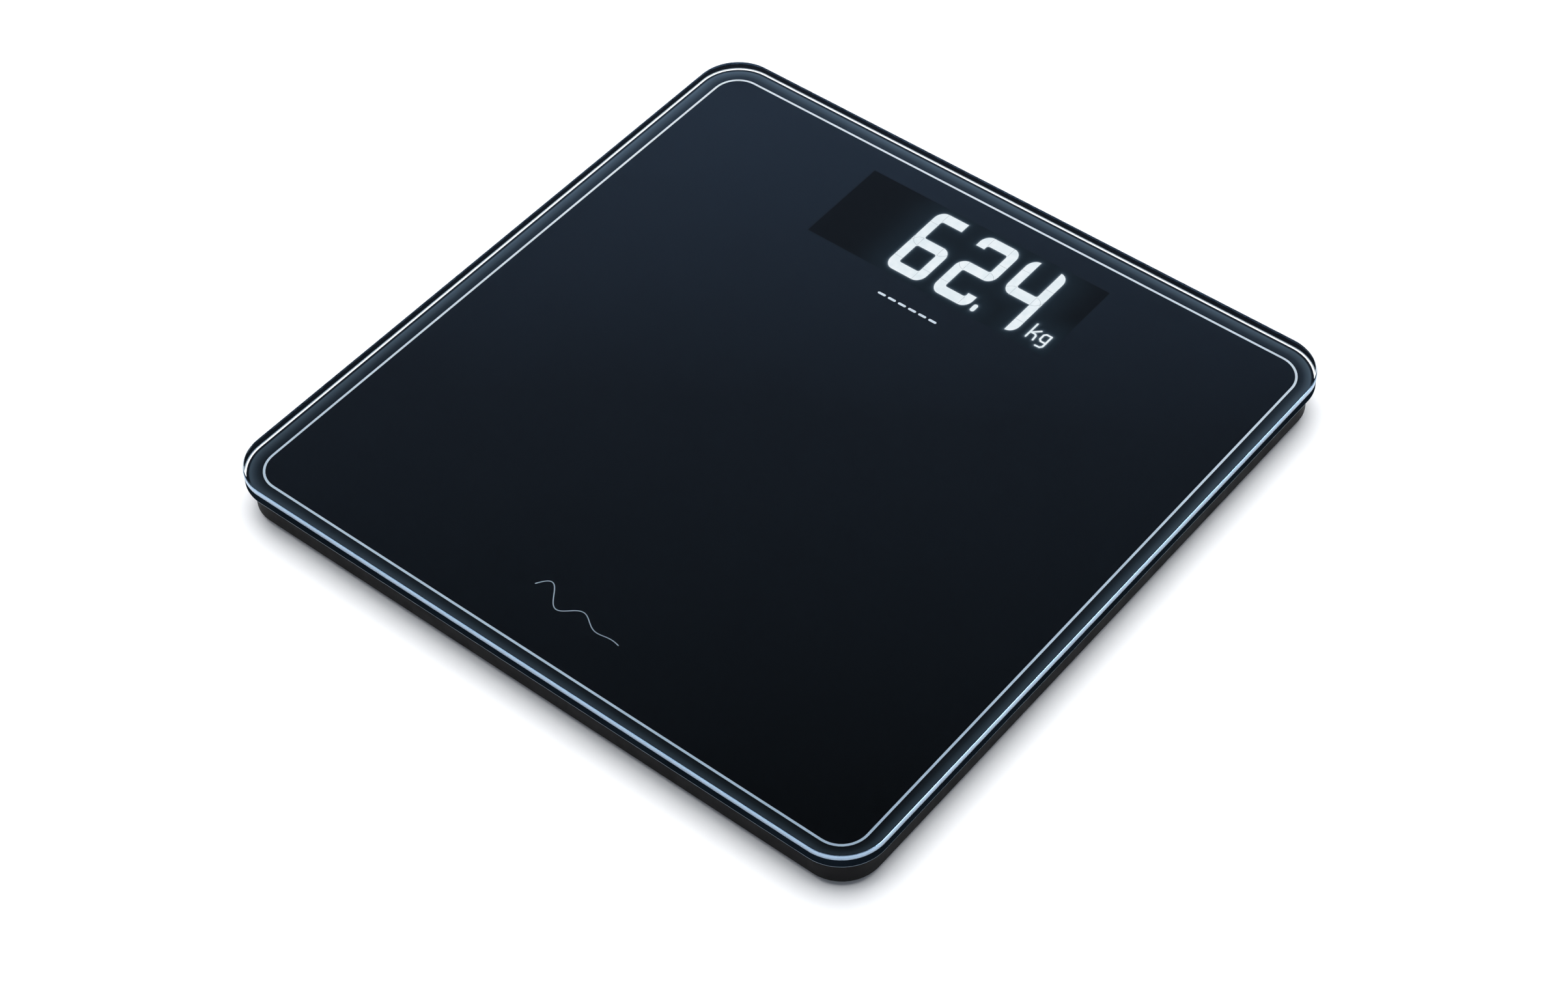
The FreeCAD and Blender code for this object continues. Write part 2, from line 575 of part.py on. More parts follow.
def make_load_cell(name, side_x, side_y):
    x, y = signed(side_x, FOOT_X), signed(side_y, FOOT_Y)
    cell = plate(f"load_cell_{name}", "Dims.cell_size", "Dims.cell_size", "Dims.cell_seat",
                 "Dims.cell_thickness", "Dims.cell_corner", x, y)
    slots = new_sketch(cell, f"tongue_slots_{name}", CELL_TOP)
    inner = "(Dims.cell_size - 2 * Dims.cell_frame)"
    for end in (-1, 1):
        draw_rectangle(slots, inner, "Dims.cell_slot", x,
                       f"({y} + ({end}) * (Dims.cell_tongue + Dims.cell_slot) / 2)")
    pocket(cell, f"tongue_slot_cuts_{name}", slots, "Dims.cell_thickness")
    tip = new_sketch(cell, f"tongue_tip_{name}", CELL_TOP)
    draw_rectangle(tip, "Dims.cell_slot", "(Dims.cell_tongue + 1)",
                   f"({x} + ({side_x}) * ({inner} - Dims.cell_slot) / 2)", y)
    pocket(cell, f"tongue_tip_cut_{name}", tip, "Dims.cell_thickness")
    hole = new_sketch(cell, f"spigot_hole_{name}", CELL_TOP)
    draw_circle(hole, "Dims.spigot_hole", x, y)
    pocket(cell, f"spigot_hole_cut_{name}", hole, "Dims.cell_thickness")

    plate(f"strain_gauge_{name}", "Dims.gauge_length", "Dims.gauge_width",
          "(Dims.cell_seat - Dims.gauge_height)", "Dims.gauge_height", "1",
          f"({x} - ({side_x}) * Dims.gauge_reach)", y)

    retainer = plate(f"cell_retainer_{name}", "Dims.rim_size", "Dims.rim_size", CELL_TOP,
                     "Dims.retainer_thickness", "Dims.cell_corner", x, y)
    ears = new_sketch(retainer, f"retainer_ears_{name}", CELL_TOP)
    for ear_x, ear_y in ear_places(side_x, side_y):
        draw_circle(ears, "Dims.ear_radius", ear_x, ear_y)
    pad(retainer, f"retainer_ear_pads_{name}", ears, "Dims.retainer_thickness")
    retainer_top = f"({CELL_TOP} + Dims.retainer_thickness)"
    opening = new_sketch(retainer, f"retainer_opening_{name}", retainer_top)
    clear = "(Dims.rim_size - 2 * Dims.retainer_width)"
    draw_rectangle(opening, clear, clear, x, y)
    for ear_x, ear_y in ear_places(side_x, side_y):
        draw_circle(opening, "Dims.screw_hole", ear_x, ear_y)
    pocket(retainer, f"retainer_cuts_{name}", opening, "Dims.retainer_thickness")


def screw(name, x, y, seat):
    """A pan-head screw whose head rests on the seat height."""
    shank = primitive("Cylinder", f"{name}_shank", {"Radius": "Dims.screw_radius", "Height": "Dims.screw_length"},
                      (x, y, f"{seat} - Dims.screw_length"))
    head = primitive("Cylinder", f"{name}_head",
                     {"Radius": "Dims.screw_head", "Height": "Dims.screw_head_height"}, (x, y, seat))
    slot = block(f"{name}_slot", "(1.6 * Dims.screw_head)", "(0.25 * Dims.screw_head)",
                 "Dims.screw_head_height", x, y, f"({seat} + Dims.screw_head_height / 2)")
    whole = joined(f"{name}_blank", [shank, head], own_node=False)
    cut = doc.addObject("Part::Cut", name)
    cut.Base = whole
    cut.Tool = slot
    return cut


def make_screws():
    retainer_top = f"({CELL_TOP} + Dims.retainer_thickness)"
    screws = []
    for name, side in SIDES.items():
        for index, (x, y) in enumerate(ear_places(*side), start=1):
            screws.append(screw(f"retainer_screw_{name}_{index}", x, y, retainer_top))
    group("retainer_screws", screws)
    board_top = "(Dims.board_height + Dims.board_thickness)"
    screws = [screw(f"board_screw_{index}", x, y, board_top)
              for index, (x, y) in enumerate(board_post_places(), start=1)]
    group("board_screws", screws)
    screws = []
    for index, (x, y) in enumerate(display_post_places(), start=1):
        item = screw(f"display_screw_{index}", x, y, DISPLAY_BOARD_TOP)
        shank = doc.getObject(f"display_screw_{index}_shank")
        shank.setExpression("Height", "Dims.screw_length - 1.4")
        shank.setExpression("Placement.Base.z", f"{DISPLAY_BOARD_TOP} - Dims.screw_length + 1.4")
        screws.append(item)
    group("display_screws", screws)


# ---------------------------------------------------------------- leads
def tube_along(points, radius, height):
    """A round lead at one height: straight runs joined by tangent arcs, as large as they fit."""
    places = [FreeCAD.Vector(x, y, height) for x, y in points]
    edges = []
    start = places[0]
    for before, corner, after in zip(places, places[1:], places[2:]):
        inward = (before - corner).normalize()
        outward = (after - corner).normalize()
        turn = math.pi - inward.getAngle(outward)
        trim = 0.45 * min((before - corner).Length, (after - corner).Length)
        bend = trim / math.tan(turn / 2)
        into, out_of = corner + inward * trim, corner + outward * trim
        half = (inward + outward).normalize()
        crown = corner + half * (math.hypot(trim, bend) - bend)
        edges.append(Part.LineSegment(start, into).toShape())
        edges.append(Part.Arc(into, crown, out_of).toShape())
        start = out_of
        print(f"lead bend radius {bend:.1f}")
    edges.append(Part.LineSegment(start, places[-1]).toShape())
    path = Part.Wire(edges)
    section = Part.Wire(Part.makeCircle(radius, places[0], places[1] - places[0]))
    tube = path.makePipeShell([section], True, False)
    expected = math.pi * radius ** 2 * path.Length
    if abs(tube.Volume / expected - 1) > 0.01:
        raise RuntimeError("a lead's volume is not its section times its length")
    return tube


def make_leads():
    foot_x, foot_y = value(FOOT_X), value(FOOT_Y)
    start_x = foot_x - value("Dims.gauge_reach")
    board_edge = value("Dims.board_width") / 2
    radius, height = value("Dims.lead_radius"), value("Dims.lead_height")
    rear_plug = value("Dims.board_centre") + value("Dims.plug_spread")
    front_plug = value("Dims.board_centre") - value("Dims.plug_spread")
    routes = {
        "rear": [(start_x, foot_y), (start_x - 28, foot_y), (start_x - 44, foot_y - 38),
                 (board_edge + 22, rear_plug), (board_edge, rear_plug)],
        "front": [(start_x, -foot_y), (start_x - 34, -foot_y), (board_edge + 34, -foot_y + 53),
                  (board_edge + 26, -foot_y + 109), (board_edge + 28, front_plug - 30),
                  (board_edge + 14, front_plug), (board_edge, front_plug)],
    }
    for name, (side_x, side_y) in SIDES.items():
        route = routes["rear" if side_y > 0 else "front"]
        free_shape(f"cell_lead_{name}", tube_along([(side_x * x, y) for x, y in route], radius, height))
    bay_rear = value("Dims.bay_centre + Dims.bay_depth / 2 + Dims.bay_wall")
    board_front = value("Dims.board_centre - Dims.board_depth / 2")
    for label, side in (("battery_lead_positive", 1), ("battery_lead_negative", -1)):
        route = [(side * 21, bay_rear), (side * 21, bay_rear + 9), (side * 16, board_front - 8),
                 (side * 16, board_front)]
        free_shape(label, tube_along(route, radius, height))


# ---------------------------------------------------------------- batteries
def make_batteries():
    level = "Dims.battery_height"
    plates, springs = [], []
    for index, side in enumerate((1, -1, 1)):
        y = f"(Dims.bay_centre + ({index - 1}) * Dims.battery_pitch)"
        wall = f"(Dims.bay_length / 2 - Dims.contact_thickness)"
        turn = FreeCAD.Rotation(FreeCAD.Vector(0, 1, 0), 90 * side)
        can_end = f"({wall} - Dims.battery_terminal - Dims.battery_can)"
        can = primitive("Cylinder", f"battery_can_{index + 1}",
                        {"Radius": "Dims.battery_radius", "Height": "Dims.battery_can"},
                        (signed(side, can_end), y, level), turn)
        nub = primitive("Cylinder", f"battery_nub_{index + 1}",
                        {"Radius": "Dims.terminal_radius", "Height": "Dims.battery_terminal"},
                        (signed(side, f"({wall} - Dims.battery_terminal)"), y, level), turn)
        joined(f"battery_{index + 1}", [can, nub])
        for end in (-1, 1):
            centre = f"(({end}) * (Dims.bay_length - Dims.contact_thickness) / 2)"
            plates.append(block(f"contact_{index + 1}_{'a' if end < 0 else 'b'}", "Dims.contact_thickness",
                                "Dims.contact_size", "Dims.contact_size", centre, y,
                                f"({level} - Dims.contact_size / 2)"))
        springs.append(leaf_spring(side, value(can_end), value(wall), value(y)))
    group("battery_contacts", plates)
    free_shape("battery_springs", Part.makeCompound(springs))


def leaf_spring(side, can_end, wall, y):
    """A V-shaped strip from the contact plate to a cell's flat end."""
    half, strip = value("Dims.spring_width") / 2, value("Dims.spring_strip")
    middle, tall = value("Dims.battery_height"), value("Dims.spring_height")
    plate_face, cell_face = -side * wall, side * can_end
    lean = side * 2 * strip
    strip_outline = [(plate_face, y - half), (cell_face, y), (plate_face, y + half),
                     (plate_face, y + half - strip), (cell_face - lean, y),
                     (plate_face, y - half + strip)]
    return prism(strip_outline, middle - tall / 2, middle + tall / 2)


def make_door():
    length = f"({RECESS_LENGTH} - 2 * Dims.door_gap)"
    depth = f"({RECESS_DEPTH} - 2 * Dims.door_gap)"
    door = plate("battery_door", length, depth, "Dims.tray_underside", "Dims.door_thickness",
                 "(Dims.door_corner - Dims.door_gap)", y="Dims.bay_centre")
    front = f"(Dims.bay_centre - {depth} / 2)"
    top = "(Dims.tray_underside + Dims.door_thickness)"
    posts = new_sketch(door, "hook_posts", top)
    for side in (-1, 1):
        draw_rectangle(posts, "Dims.tab_width", "Dims.tab_thickness", signed(side, "Dims.tab_reach"),
                       f"({front} + Dims.tab_thickness / 2)")
    hook_under = f"({FLOOR_TOP} + 0.1)"
    pad(door, "hook_post_pads", posts, f"({hook_under} - {top})")
    hooks = new_sketch(door, "hooks", hook_under)
    for side in (-1, 1):
        draw_rectangle(hooks, "Dims.tab_width", "(Dims.tab_thickness + Dims.tab_overhang)",
                       signed(side, "Dims.tab_reach"),
                       f"({front} + (Dims.tab_thickness - Dims.tab_overhang) / 2)")
    pad(door, "hook_pads", hooks, "Dims.tab_thickness")
    slots = new_sketch(door, "latch_slots", top)
    rear = f"(Dims.bay_centre + {depth} / 2)"
    for side in (-1, 1):
        draw_rectangle(slots, "Dims.latch_slot", "(Dims.latch_length + 1)",
                       signed(side, "(Dims.latch_width + Dims.latch_slot) / 2"),
                       f"({rear} - Dims.latch_length / 2 + 0.5)")
    pocket(door, "latch_slot_cuts", slots, "Dims.door_thickness")


# ---------------------------------------------------------------- electronics
def plug_places():
    for side_x, side_y in SIDES.values():
        yield (signed(side_x, "(Dims.board_width - Dims.plug_length) / 2"),
               f"(Dims.board_centre + ({side_y}) * Dims.plug_spread)")


def make_main_board():
    board = plate("main_board", "Dims.board_width", "Dims.board_depth", "Dims.board_height",
                  "Dims.board_thickness", "1.5", y="Dims.board_centre")
    top = "(Dims.board_height + Dims.board_thickness)"
    holes = new_sketch(board, "board_holes", top)
    for x, y in board_post_places():
        draw_circle(holes, "Dims.screw_hole", x, y)
    pocket(board, "board_hole_cuts", holes, "Dims.board_thickness")

    plugs = [block(f"lead_plug_{index}", "Dims.plug_length", "Dims.plug_width", "Dims.plug_height", x, y,
                   "(Dims.board_height - Dims.plug_height)")
             for index, (x, y) in enumerate(plug_places(), start=1)]
    for side, ending in ((-1, "negative"), (1, "positive")):
        plugs.append(block(f"battery_plug_{ending}", "(Dims.plug_length / 2)", "(Dims.plug_width / 2)",
                           "Dims.plug_height", signed(side, "16"),
                           "(Dims.board_centre - Dims.board_depth / 2 + Dims.plug_width / 4)",
                           "(Dims.board_height - Dims.plug_height)"))
    group("lead_connectors", plugs)

    chip = block("chip_body", "10", "7", "1.6", "6", "Dims.board_centre", f"({top} + 0.2)")
    legs = [block(f"chip_leg_{index}_{side}", "0.5", "1.2", "0.9", f"({1.5 + 1.5 * index})",
                  f"(Dims.board_centre + ({side}) * 4.1)", top)
            for index in range(7) for side in (-1, 1)]
    group("controller_chip", [chip])
    group("chip_legs", legs)

    can_sizes = {"Radius": "2", "Height": "3"}
    parts = [primitive("Cylinder", "capacitor_left", can_sizes, ("-8", "(Dims.board_centre + 7)", top)),
             primitive("Cylinder", "capacitor_right", can_sizes, ("-8", "(Dims.board_centre - 7)", top))]
    for index in range(5):
        parts.append(block(f"resistor_{index + 1}", "2", "1.2", "0.6", f"({-6 + 3.2 * index})",
                           "(Dims.board_centre + 9)", top))
    parts.append(block("crystal", "5", "2.2", "1.4", "-2", "(Dims.board_centre - 6)", top))
    group("board_components", parts)

    body = block("switch_body", "Dims.switch_size", "Dims.switch_size", "Dims.switch_height", "0",
                 "Dims.board_centre", "(Dims.board_height - Dims.switch_height)")
    plunger = primitive("Cylinder", "switch_plunger_pin",
                        {"Radius": "Dims.foot_spigot", "Height": "Dims.switch_plunger"},
                        ("0", "Dims.board_centre",
                         "Dims.board_height - Dims.switch_height - Dims.switch_plunger"))
    joined("unit_switch", [body, plunger])


def make_button():
    """The push button under the tray that changes the unit of weight."""
    flange_under = f"({FLOOR_TOP} + 0.1)"
    stem = primitive("Cylinder", "button_stem",
                     {"Radius": "Dims.button_radius", "Height": f"{flange_under} - Dims.button_face"},
                     ("0", "Dims.board_centre", "Dims.button_face"))
    flange = primitive("Cylinder", "button_collar", {"Radius": "Dims.button_flange", "Height": "0.5"},
                       ("0", "Dims.board_centre", flange_under))
    nub = primitive("Cylinder", "button_nub",
                    {"Radius": "Dims.foot_spigot", "Height": f"Dims.button_top - {flange_under}"},
                    ("0", "Dims.board_centre", flange_under))
    joined("unit_button", [stem, flange, nub])


# Each numeral's lit segments, named a to g clockwise from the top with g in the middle.
NUMERALS = [
    ("", "abcdefg"),
    ("acdefg", "b"),
    ("abdeg", "cf"),
    ("bcfg", "ade"),
]


def segment_outlines(left, bottom):
    """The mitred outline of each segment of one numeral, as named lists of points."""
    width, height = value("Dims.digit_width"), value("Dims.digit_height")
    down, across = value("Dims.stroke_down"), value("Dims.stroke_across")
    seam = value("Dims.segment_seam")
    right, top = left + width, bottom + height
    middle = bottom + height / 2
    half = across / 2
    level = {
        "a": [(left + seam, top), (right - seam, top), (right - down - seam, top - across),
              (left + down + seam, top - across)],
        "d": [(left + seam, bottom), (left + down + seam, bottom + across),
              (right - down - seam, bottom + across), (right - seam, bottom)],
        "g": [(left + down / 2 + seam, middle), (left + down + seam, middle + half),
              (right - down - seam, middle + half), (right - down / 2 - seam, middle),
              (right - down - seam, middle - half), (left + down + seam, middle - half)],
    }
    upright = {}
    for name, edge, inner in (("f", left, left + down), ("b", right, right - down)):
        upright[name] = [(edge, middle + seam), (edge, top - seam), (inner, top - across - seam),
                         (inner, middle + half + seam), ((edge + inner) / 2, middle + seam)]
    for name, edge, inner in (("e", left, left + down), ("c", right, right - down)):
        upright[name] = [(edge, middle - seam), (edge, bottom + seam), (inner, bottom + across + seam),
                         (inner, middle - half - seam), ((edge + inner) / 2, middle - seam)]
    return {**level, **upright}


def prism(points, low, high):
    corners = [FreeCAD.Vector(x, y, low) for x, y in points]
    outline = Part.makePolygon(corners + corners[:1])
    return Part.Face(outline).extrude(FreeCAD.Vector(0, 0, high - low))


def make_display():
    top, board_top = value("Dims.display_top"), value(DISPLAY_BOARD_TOP)
    pipe_under = top - value("Dims.segment_depth")
    bottom = value("Dims.window_centre") - value("Dims.digit_height") / 2
    lit, dark, wells, chips = [], [], [], []
    for index, (bright_names, dark_names) in enumerate(NUMERALS):
        left = value("Dims.digit_start") + index * value("Dims.digit_pitch")
        outlines = segment_outlines(left, bottom)
        for name, points in outlines.items():
            bright = name in bright_names
            (lit if bright else dark).append(prism(points, pipe_under, top))
            wells.append(prism(points, board_top, top))
            centre_x = sum(x for x, _ in points) / len(points)
            centre_y = sum(y for _, y in points) / len(points)
            chips.append(prism(square(centre_x, centre_y, 1.6), board_top, board_top + 0.8))
    dot_left = value("Dims.digit_start") + 3 * value("Dims.digit_pitch") - 4.2
    marks = [[(dot_left, bottom), (dot_left + 2.6, bottom), (dot_left + 2.6, bottom + 4.4),
              (dot_left, bottom + 4.4)]]
    unit_left = value("Dims.digit_start") + 4 * value("Dims.digit_pitch") - 0.8
    marks += [[(unit_left + shift, bottom), (unit_left + shift + 5, bottom),
               (unit_left + shift + 5, bottom + 12), (unit_left + shift, bottom + 12)]
              for shift in (0, 6.4)]
    for points in marks:
        lit.append(prism(points, pipe_under, top))
        wells.append(prism(points, board_top, top))
        chips.append(prism(square((points[0][0] + points[1][0]) / 2, bottom + 2.2, 1.6),
                           board_top, board_top + 0.8))
    free_shape("lit_segments", Part.makeCompound(lit))
    free_shape("dark_segments", Part.makeCompound(dark))
    free_shape("display_leds", Part.makeCompound(chips))

    half_x, half_y = value("Dims.display_width") / 2, value("Dims.display_depth") / 2
    centre = value("Dims.window_centre")
    box = Part.makeBox(2 * half_x, 2 * half_y, top - board_top,
                       FreeCAD.Vector(-half_x, centre - half_y, board_top))
    free_shape("display_housing", box.cut(wells))

    board = plate("display_board", "Dims.display_board_width", "Dims.display_depth",
                  "Dims.display_board_height", "Dims.board_thickness", "1.5", y="Dims.window_centre")
    holes = new_sketch(board, "display_board_holes", DISPLAY_BOARD_TOP)
    for x, y in display_post_places():
        draw_circle(holes, "Dims.screw_hole", x, y)
    pocket(board, "display_board_hole_cuts", holes, "Dims.board_thickness")

    gasket = new_body("display_gasket")
    ring = new_sketch(gasket, "gasket_outline", "Dims.display_top")
    for inset in ("0", "Dims.gasket_width"):
        draw_rectangle(ring, f"(Dims.display_width - 2 * {inset})", f"(Dims.display_depth - 2 * {inset})",
                       y="Dims.window_centre")
    pad(gasket, "gasket_ring", ring, f"({PRINT_UNDER} - Dims.display_top)")


def square(x, y, size):
    half = size / 2
    return [(x - half, y - half), (x + half, y - half), (x + half, y + half), (x - half, y + half)]


def make_ribbon():
    """The flat cable from the main board's top down to the display board's top."""
    ribbon = new_body("display_ribbon")
    profile = new_sketch(ribbon, "ribbon_profile", "-Dims.ribbon_width / 2", "YZ_Plane")
    thick = "Dims.ribbon_thickness"
    board_top = "(Dims.board_height + Dims.board_thickness)"
    board_end = "(Dims.board_centre + Dims.board_depth / 2)"
    display_end = "(Dims.window_centre - Dims.display_depth / 2)"
    draw_outline(profile, [
        (f"({board_end} - 2.5)", board_top),
        (f"({board_end} + 3)", board_top),
        (f"({display_end} - 5)", f"(Dims.display_board_height - {thick})"),
        (f"({display_end} + 4)", f"(Dims.display_board_height - {thick})"),
        (f"({display_end} + 4)", "Dims.display_board_height"),
        (f"({display_end} - 5 + {thick} / 2)", "Dims.display_board_height"),
        (f"({board_end} + 3 + {thick} / 2)", f"({board_top} + {thick})"),
        (f"({board_end} - 2.5)", f"({board_top} + {thick})"),
    ])
    pad(ribbon, "ribbon_sheet", profile, "Dims.ribbon_width")


# ---------------------------------------------------------------- build and write
make_glass()
make_prints()
make_tape()
make_tray()
for side_name, (side_x, side_y) in SIDES.items():
    make_foot(side_name, side_x, side_y)
    make_load_cell(side_name, side_x, side_y)
make_screws()
make_leads()
make_batteries()
make_door()
make_main_board()
make_button()
make_display()
make_ribbon()

doc.recompute()
for item in doc.Objects:
    if "Invalid" in item.State or "Error" in item.State:
        raise RuntimeError(f"{item.Label} failed: {item.State}")

os.makedirs("parts", exist_ok=True)
for item in subparts:
    shape = item.Shape
    if shape.isNull() or not shape.isValid() or not shape.Solids:
        raise RuntimeError(f"{item.Label} has no valid solid")
    shape.exportStep(f"parts/{item.Label}.step")
    box = shape.BoundBox
    print(f"{item.Label}: {len(shape.Solids)} solids, {shape.Volume:.1f} mm3, z {box.ZMin:.2f} to {box.ZMax:.2f}")
print(f"{len(subparts)} nodes")
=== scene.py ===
import json
import math

import bmesh
import bpy
from mathutils import Matrix, Vector


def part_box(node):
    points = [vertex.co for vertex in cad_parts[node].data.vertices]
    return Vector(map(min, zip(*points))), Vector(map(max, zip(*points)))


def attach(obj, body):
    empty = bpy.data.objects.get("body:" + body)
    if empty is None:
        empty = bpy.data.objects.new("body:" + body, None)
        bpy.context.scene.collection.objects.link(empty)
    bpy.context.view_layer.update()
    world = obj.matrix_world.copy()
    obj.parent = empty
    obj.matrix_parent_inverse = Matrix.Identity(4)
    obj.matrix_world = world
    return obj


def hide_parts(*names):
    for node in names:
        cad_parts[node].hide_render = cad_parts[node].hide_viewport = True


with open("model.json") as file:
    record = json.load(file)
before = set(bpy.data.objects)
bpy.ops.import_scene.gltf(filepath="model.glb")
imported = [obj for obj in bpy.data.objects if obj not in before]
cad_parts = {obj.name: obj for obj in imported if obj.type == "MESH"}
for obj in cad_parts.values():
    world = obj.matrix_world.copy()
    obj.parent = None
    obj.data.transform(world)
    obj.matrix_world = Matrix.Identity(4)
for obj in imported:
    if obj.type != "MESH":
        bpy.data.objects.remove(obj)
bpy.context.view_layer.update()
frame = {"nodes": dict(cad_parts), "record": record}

# A digital bathroom scale: black-backed glass on a moulded tray.  Metres, in the frame's axes:
# +X to the user's right, +Y away from the user, +Z up from the floor.
MM = 0.001

GLASS_LOW, GLASS_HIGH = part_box("glass_platform")
FILM_LOW, FILM_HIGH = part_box("window_film")
LINE_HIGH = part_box("silver_line")[1]
DOOR_LOW, DOOR_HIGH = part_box("battery_door")
DIGITS_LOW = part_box("lit_segments")[0]

GLASS_CORNER = 22 * MM
EDGE_TOP = 0.8 * MM
EDGE_UNDER = 0.5 * MM
BOND_DEPTH = 0.05 * MM
BAND_DEEP = 0.02 * MM
BAND_HEIGHT = 2.2 * MM
BAND_TILT = math.radians(50)
ARRIS_HIGHLIGHT_TILTS = (math.radians(-70), math.radians(-10))
FLAT_MARGIN = 1 * MM
LAYER_GAP = 0.01 * MM
DASH_HEIGHT = 0.01 * MM
FLOURISH_HEIGHT = 0.014 * MM
CORNER_STEPS = 20
SMOOTH_LIMIT = math.radians(40)

SLOT_OF = {entry["node"]: entry["material_slot"] for entry in frame["record"]["subparts"]}


# ---------------------------------------------------------------- node helpers
class Shader:
    """A material under construction: its nodes, links and Principled shader."""

    def __init__(self, name):
        self.material = bpy.data.materials.new(name)
        self.material.use_nodes = True
        self.tree = self.material.node_tree
        self.principled = self.tree.nodes["Principled BSDF"]
        self.place = self.add("ShaderNodeTexCoord").outputs["Object"]

    def add(self, kind, **settings):
        node = self.tree.nodes.new(kind)
        for key, setting in settings.items():
            setattr(node, key, setting)
        return node

    def link(self, source, target):
        self.tree.links.new(source, target)

    def set(self, **values):
        for key, setting in values.items():
            self.principled.inputs[key.replace("_", " ")].default_value = setting

    def stretched(self, scale):
        """Object coordinates in millimetres, times a scale along each axis."""
        mapping = self.add("ShaderNodeMapping")
        mapping.inputs["Scale"].default_value = [factor / MM for factor in scale]
        self.link(self.place, mapping.inputs["Vector"])
        return mapping.outputs["Vector"]

    def noise(self, feature, detail=3.0, roughness=0.5, stretch=(1, 1, 1)):
        """Noise whose features are about so many millimetres across."""
        node = self.add("ShaderNodeTexNoise")
        node.inputs["Scale"].default_value = 1.0
        node.inputs["Detail"].default_value = detail
        node.inputs["Roughness"].default_value = roughness
        self.link(self.stretched([factor / feature for factor in stretch]), node.inputs["Vector"])
        return node.outputs["Fac"]

    def ramp(self, factor, stops):
        node = self.add("ShaderNodeValToRGB")
        band = node.color_ramp
        while len(band.elements) < len(stops):
            band.elements.new(0.5)
        for element, (position, colour) in zip(band.elements, stops):
            element.position = position
            element.color = (*colour, 1.0)
        self.link(factor, node.inputs["Fac"])
        return node.outputs["Color"]

    def remap(self, factor, low, high, from_low=0.3, from_high=0.7):
        node = self.add("ShaderNodeMapRange")
        limits = {"From Min": from_low, "From Max": from_high, "To Min": low, "To Max": high}
        for key, setting in limits.items():
            node.inputs[key].default_value = setting
        self.link(factor, node.inputs["Value"])
        return node.outputs["Result"]

    def mix(self, factor, first, second):
        node = self.add("ShaderNodeMix", data_type="RGBA")
        self.link(factor, node.inputs["Factor"])
        for socket, colour in ((node.inputs["A"], first), (node.inputs["B"], second)):
            if isinstance(colour, tuple):
                socket.default_value = (*colour, 1.0)
            else:
                self.link(colour, socket)
        return node.outputs["Result"]

    def maths(self, operation, first, second=None):
        node = self.add("ShaderNodeMath", operation=operation)
        for socket, operand in zip(node.inputs, (first, second)):
            if operand is None:
                continue
            if isinstance(operand, (int, float)):
                socket.default_value = operand
            else:
                self.link(operand, socket)
        return node.outputs["Value"]

    def bump(self, height, strength, depth):
        node = self.add("ShaderNodeBump")
        node.inputs["Strength"].default_value = strength
        node.inputs["Distance"].default_value = depth * MM
        self.link(height, node.inputs["Height"])
        self.link(node.outputs["Normal"], self.principled.inputs["Normal"])

    def attribute(self, name):
        node = self.add("ShaderNodeAttribute", attribute_name=name)
        return node.outputs["Fac"]

    def separate(self):
        node = self.add("ShaderNodeSeparateXYZ")
        self.link(self.place, node.inputs["Vector"])
        return node.outputs


def moulded(name, dark, light, roughness=(0.38, 0.55), grain=0.35, relief=0.03, strength=0.4, **values):
    """Moulded plastic or rubber: mottled colour, uneven gloss and a fine spark texture."""
    shader = Shader(name)
    cloud = shader.noise(18, detail=4)
    shader.link(shader.ramp(cloud, [(0.3, dark), (0.7, light)]), shader.principled.inputs["Base Color"])
    fine = shader.noise(grain, detail=2, roughness=0.6)
    shader.link(shader.remap(shader.noise(7), *roughness), shader.principled.inputs["Roughness"])
    shader.bump(fine, strength, relief)
    shader.set(**values)
    return shader.material


def metal(name, dark, light, roughness=(0.22, 0.4), stretch=(1, 12, 12), feature=2.0, relief=0.01):
    """Metal with fine lines along X and a slightly clouded finish."""
    shader = Shader(name)
    lines = shader.noise(feature, detail=5, stretch=stretch)
    shader.link(shader.ramp(lines, [(0.3, dark), (0.7, light)]), shader.principled.inputs["Base Color"])
    shader.link(shader.remap(lines, *roughness), shader.principled.inputs["Roughness"])
    shader.bump(lines, 0.3, relief)
    shader.set(Metallic=1.0)
    return shader.material


def rim_distance(shader, half, corner):
    """How far in from the plate's rounded outline a point lies, in millimetres."""
    axes = shader.separate()
    straight = half - corner
    past_x = shader.maths("SUBTRACT", shader.maths("ABSOLUTE", axes["X"]), straight)
    past_y = shader.maths("SUBTRACT", shader.maths("ABSOLUTE", axes["Y"]), straight)
    out_x, out_y = (shader.maths("MAXIMUM", past, 0.0) for past in (past_x, past_y))
    squares = shader.maths("ADD", shader.maths("POWER", out_x, 2.0), shader.maths("POWER", out_y, 2.0))
    beyond = shader.maths("ADD", shader.maths("SQRT", squares),
                          shader.maths("MINIMUM", shader.maths("MAXIMUM", past_x, past_y), 0.0))
    return shader.maths("DIVIDE", shader.maths("SUBTRACT", corner, beyond), MM)


def painted_shade_across(shader):
    """Direction of the painted shading on the print and silver ink: 0 near the user's right, 1 far on the
    left.
    """
    # Painted shading: a slope across the plate that the print and ink colours follow, lighter far on the
    # left.
    axes = shader.separate()
    along = shader.maths("SUBTRACT", shader.maths("MULTIPLY", axes["Y"], 0.8),
                         shader.maths("MULTIPLY", axes["X"], 0.5))
    return shader.remap(along, 0.0, 1.0, -0.2, 0.2)


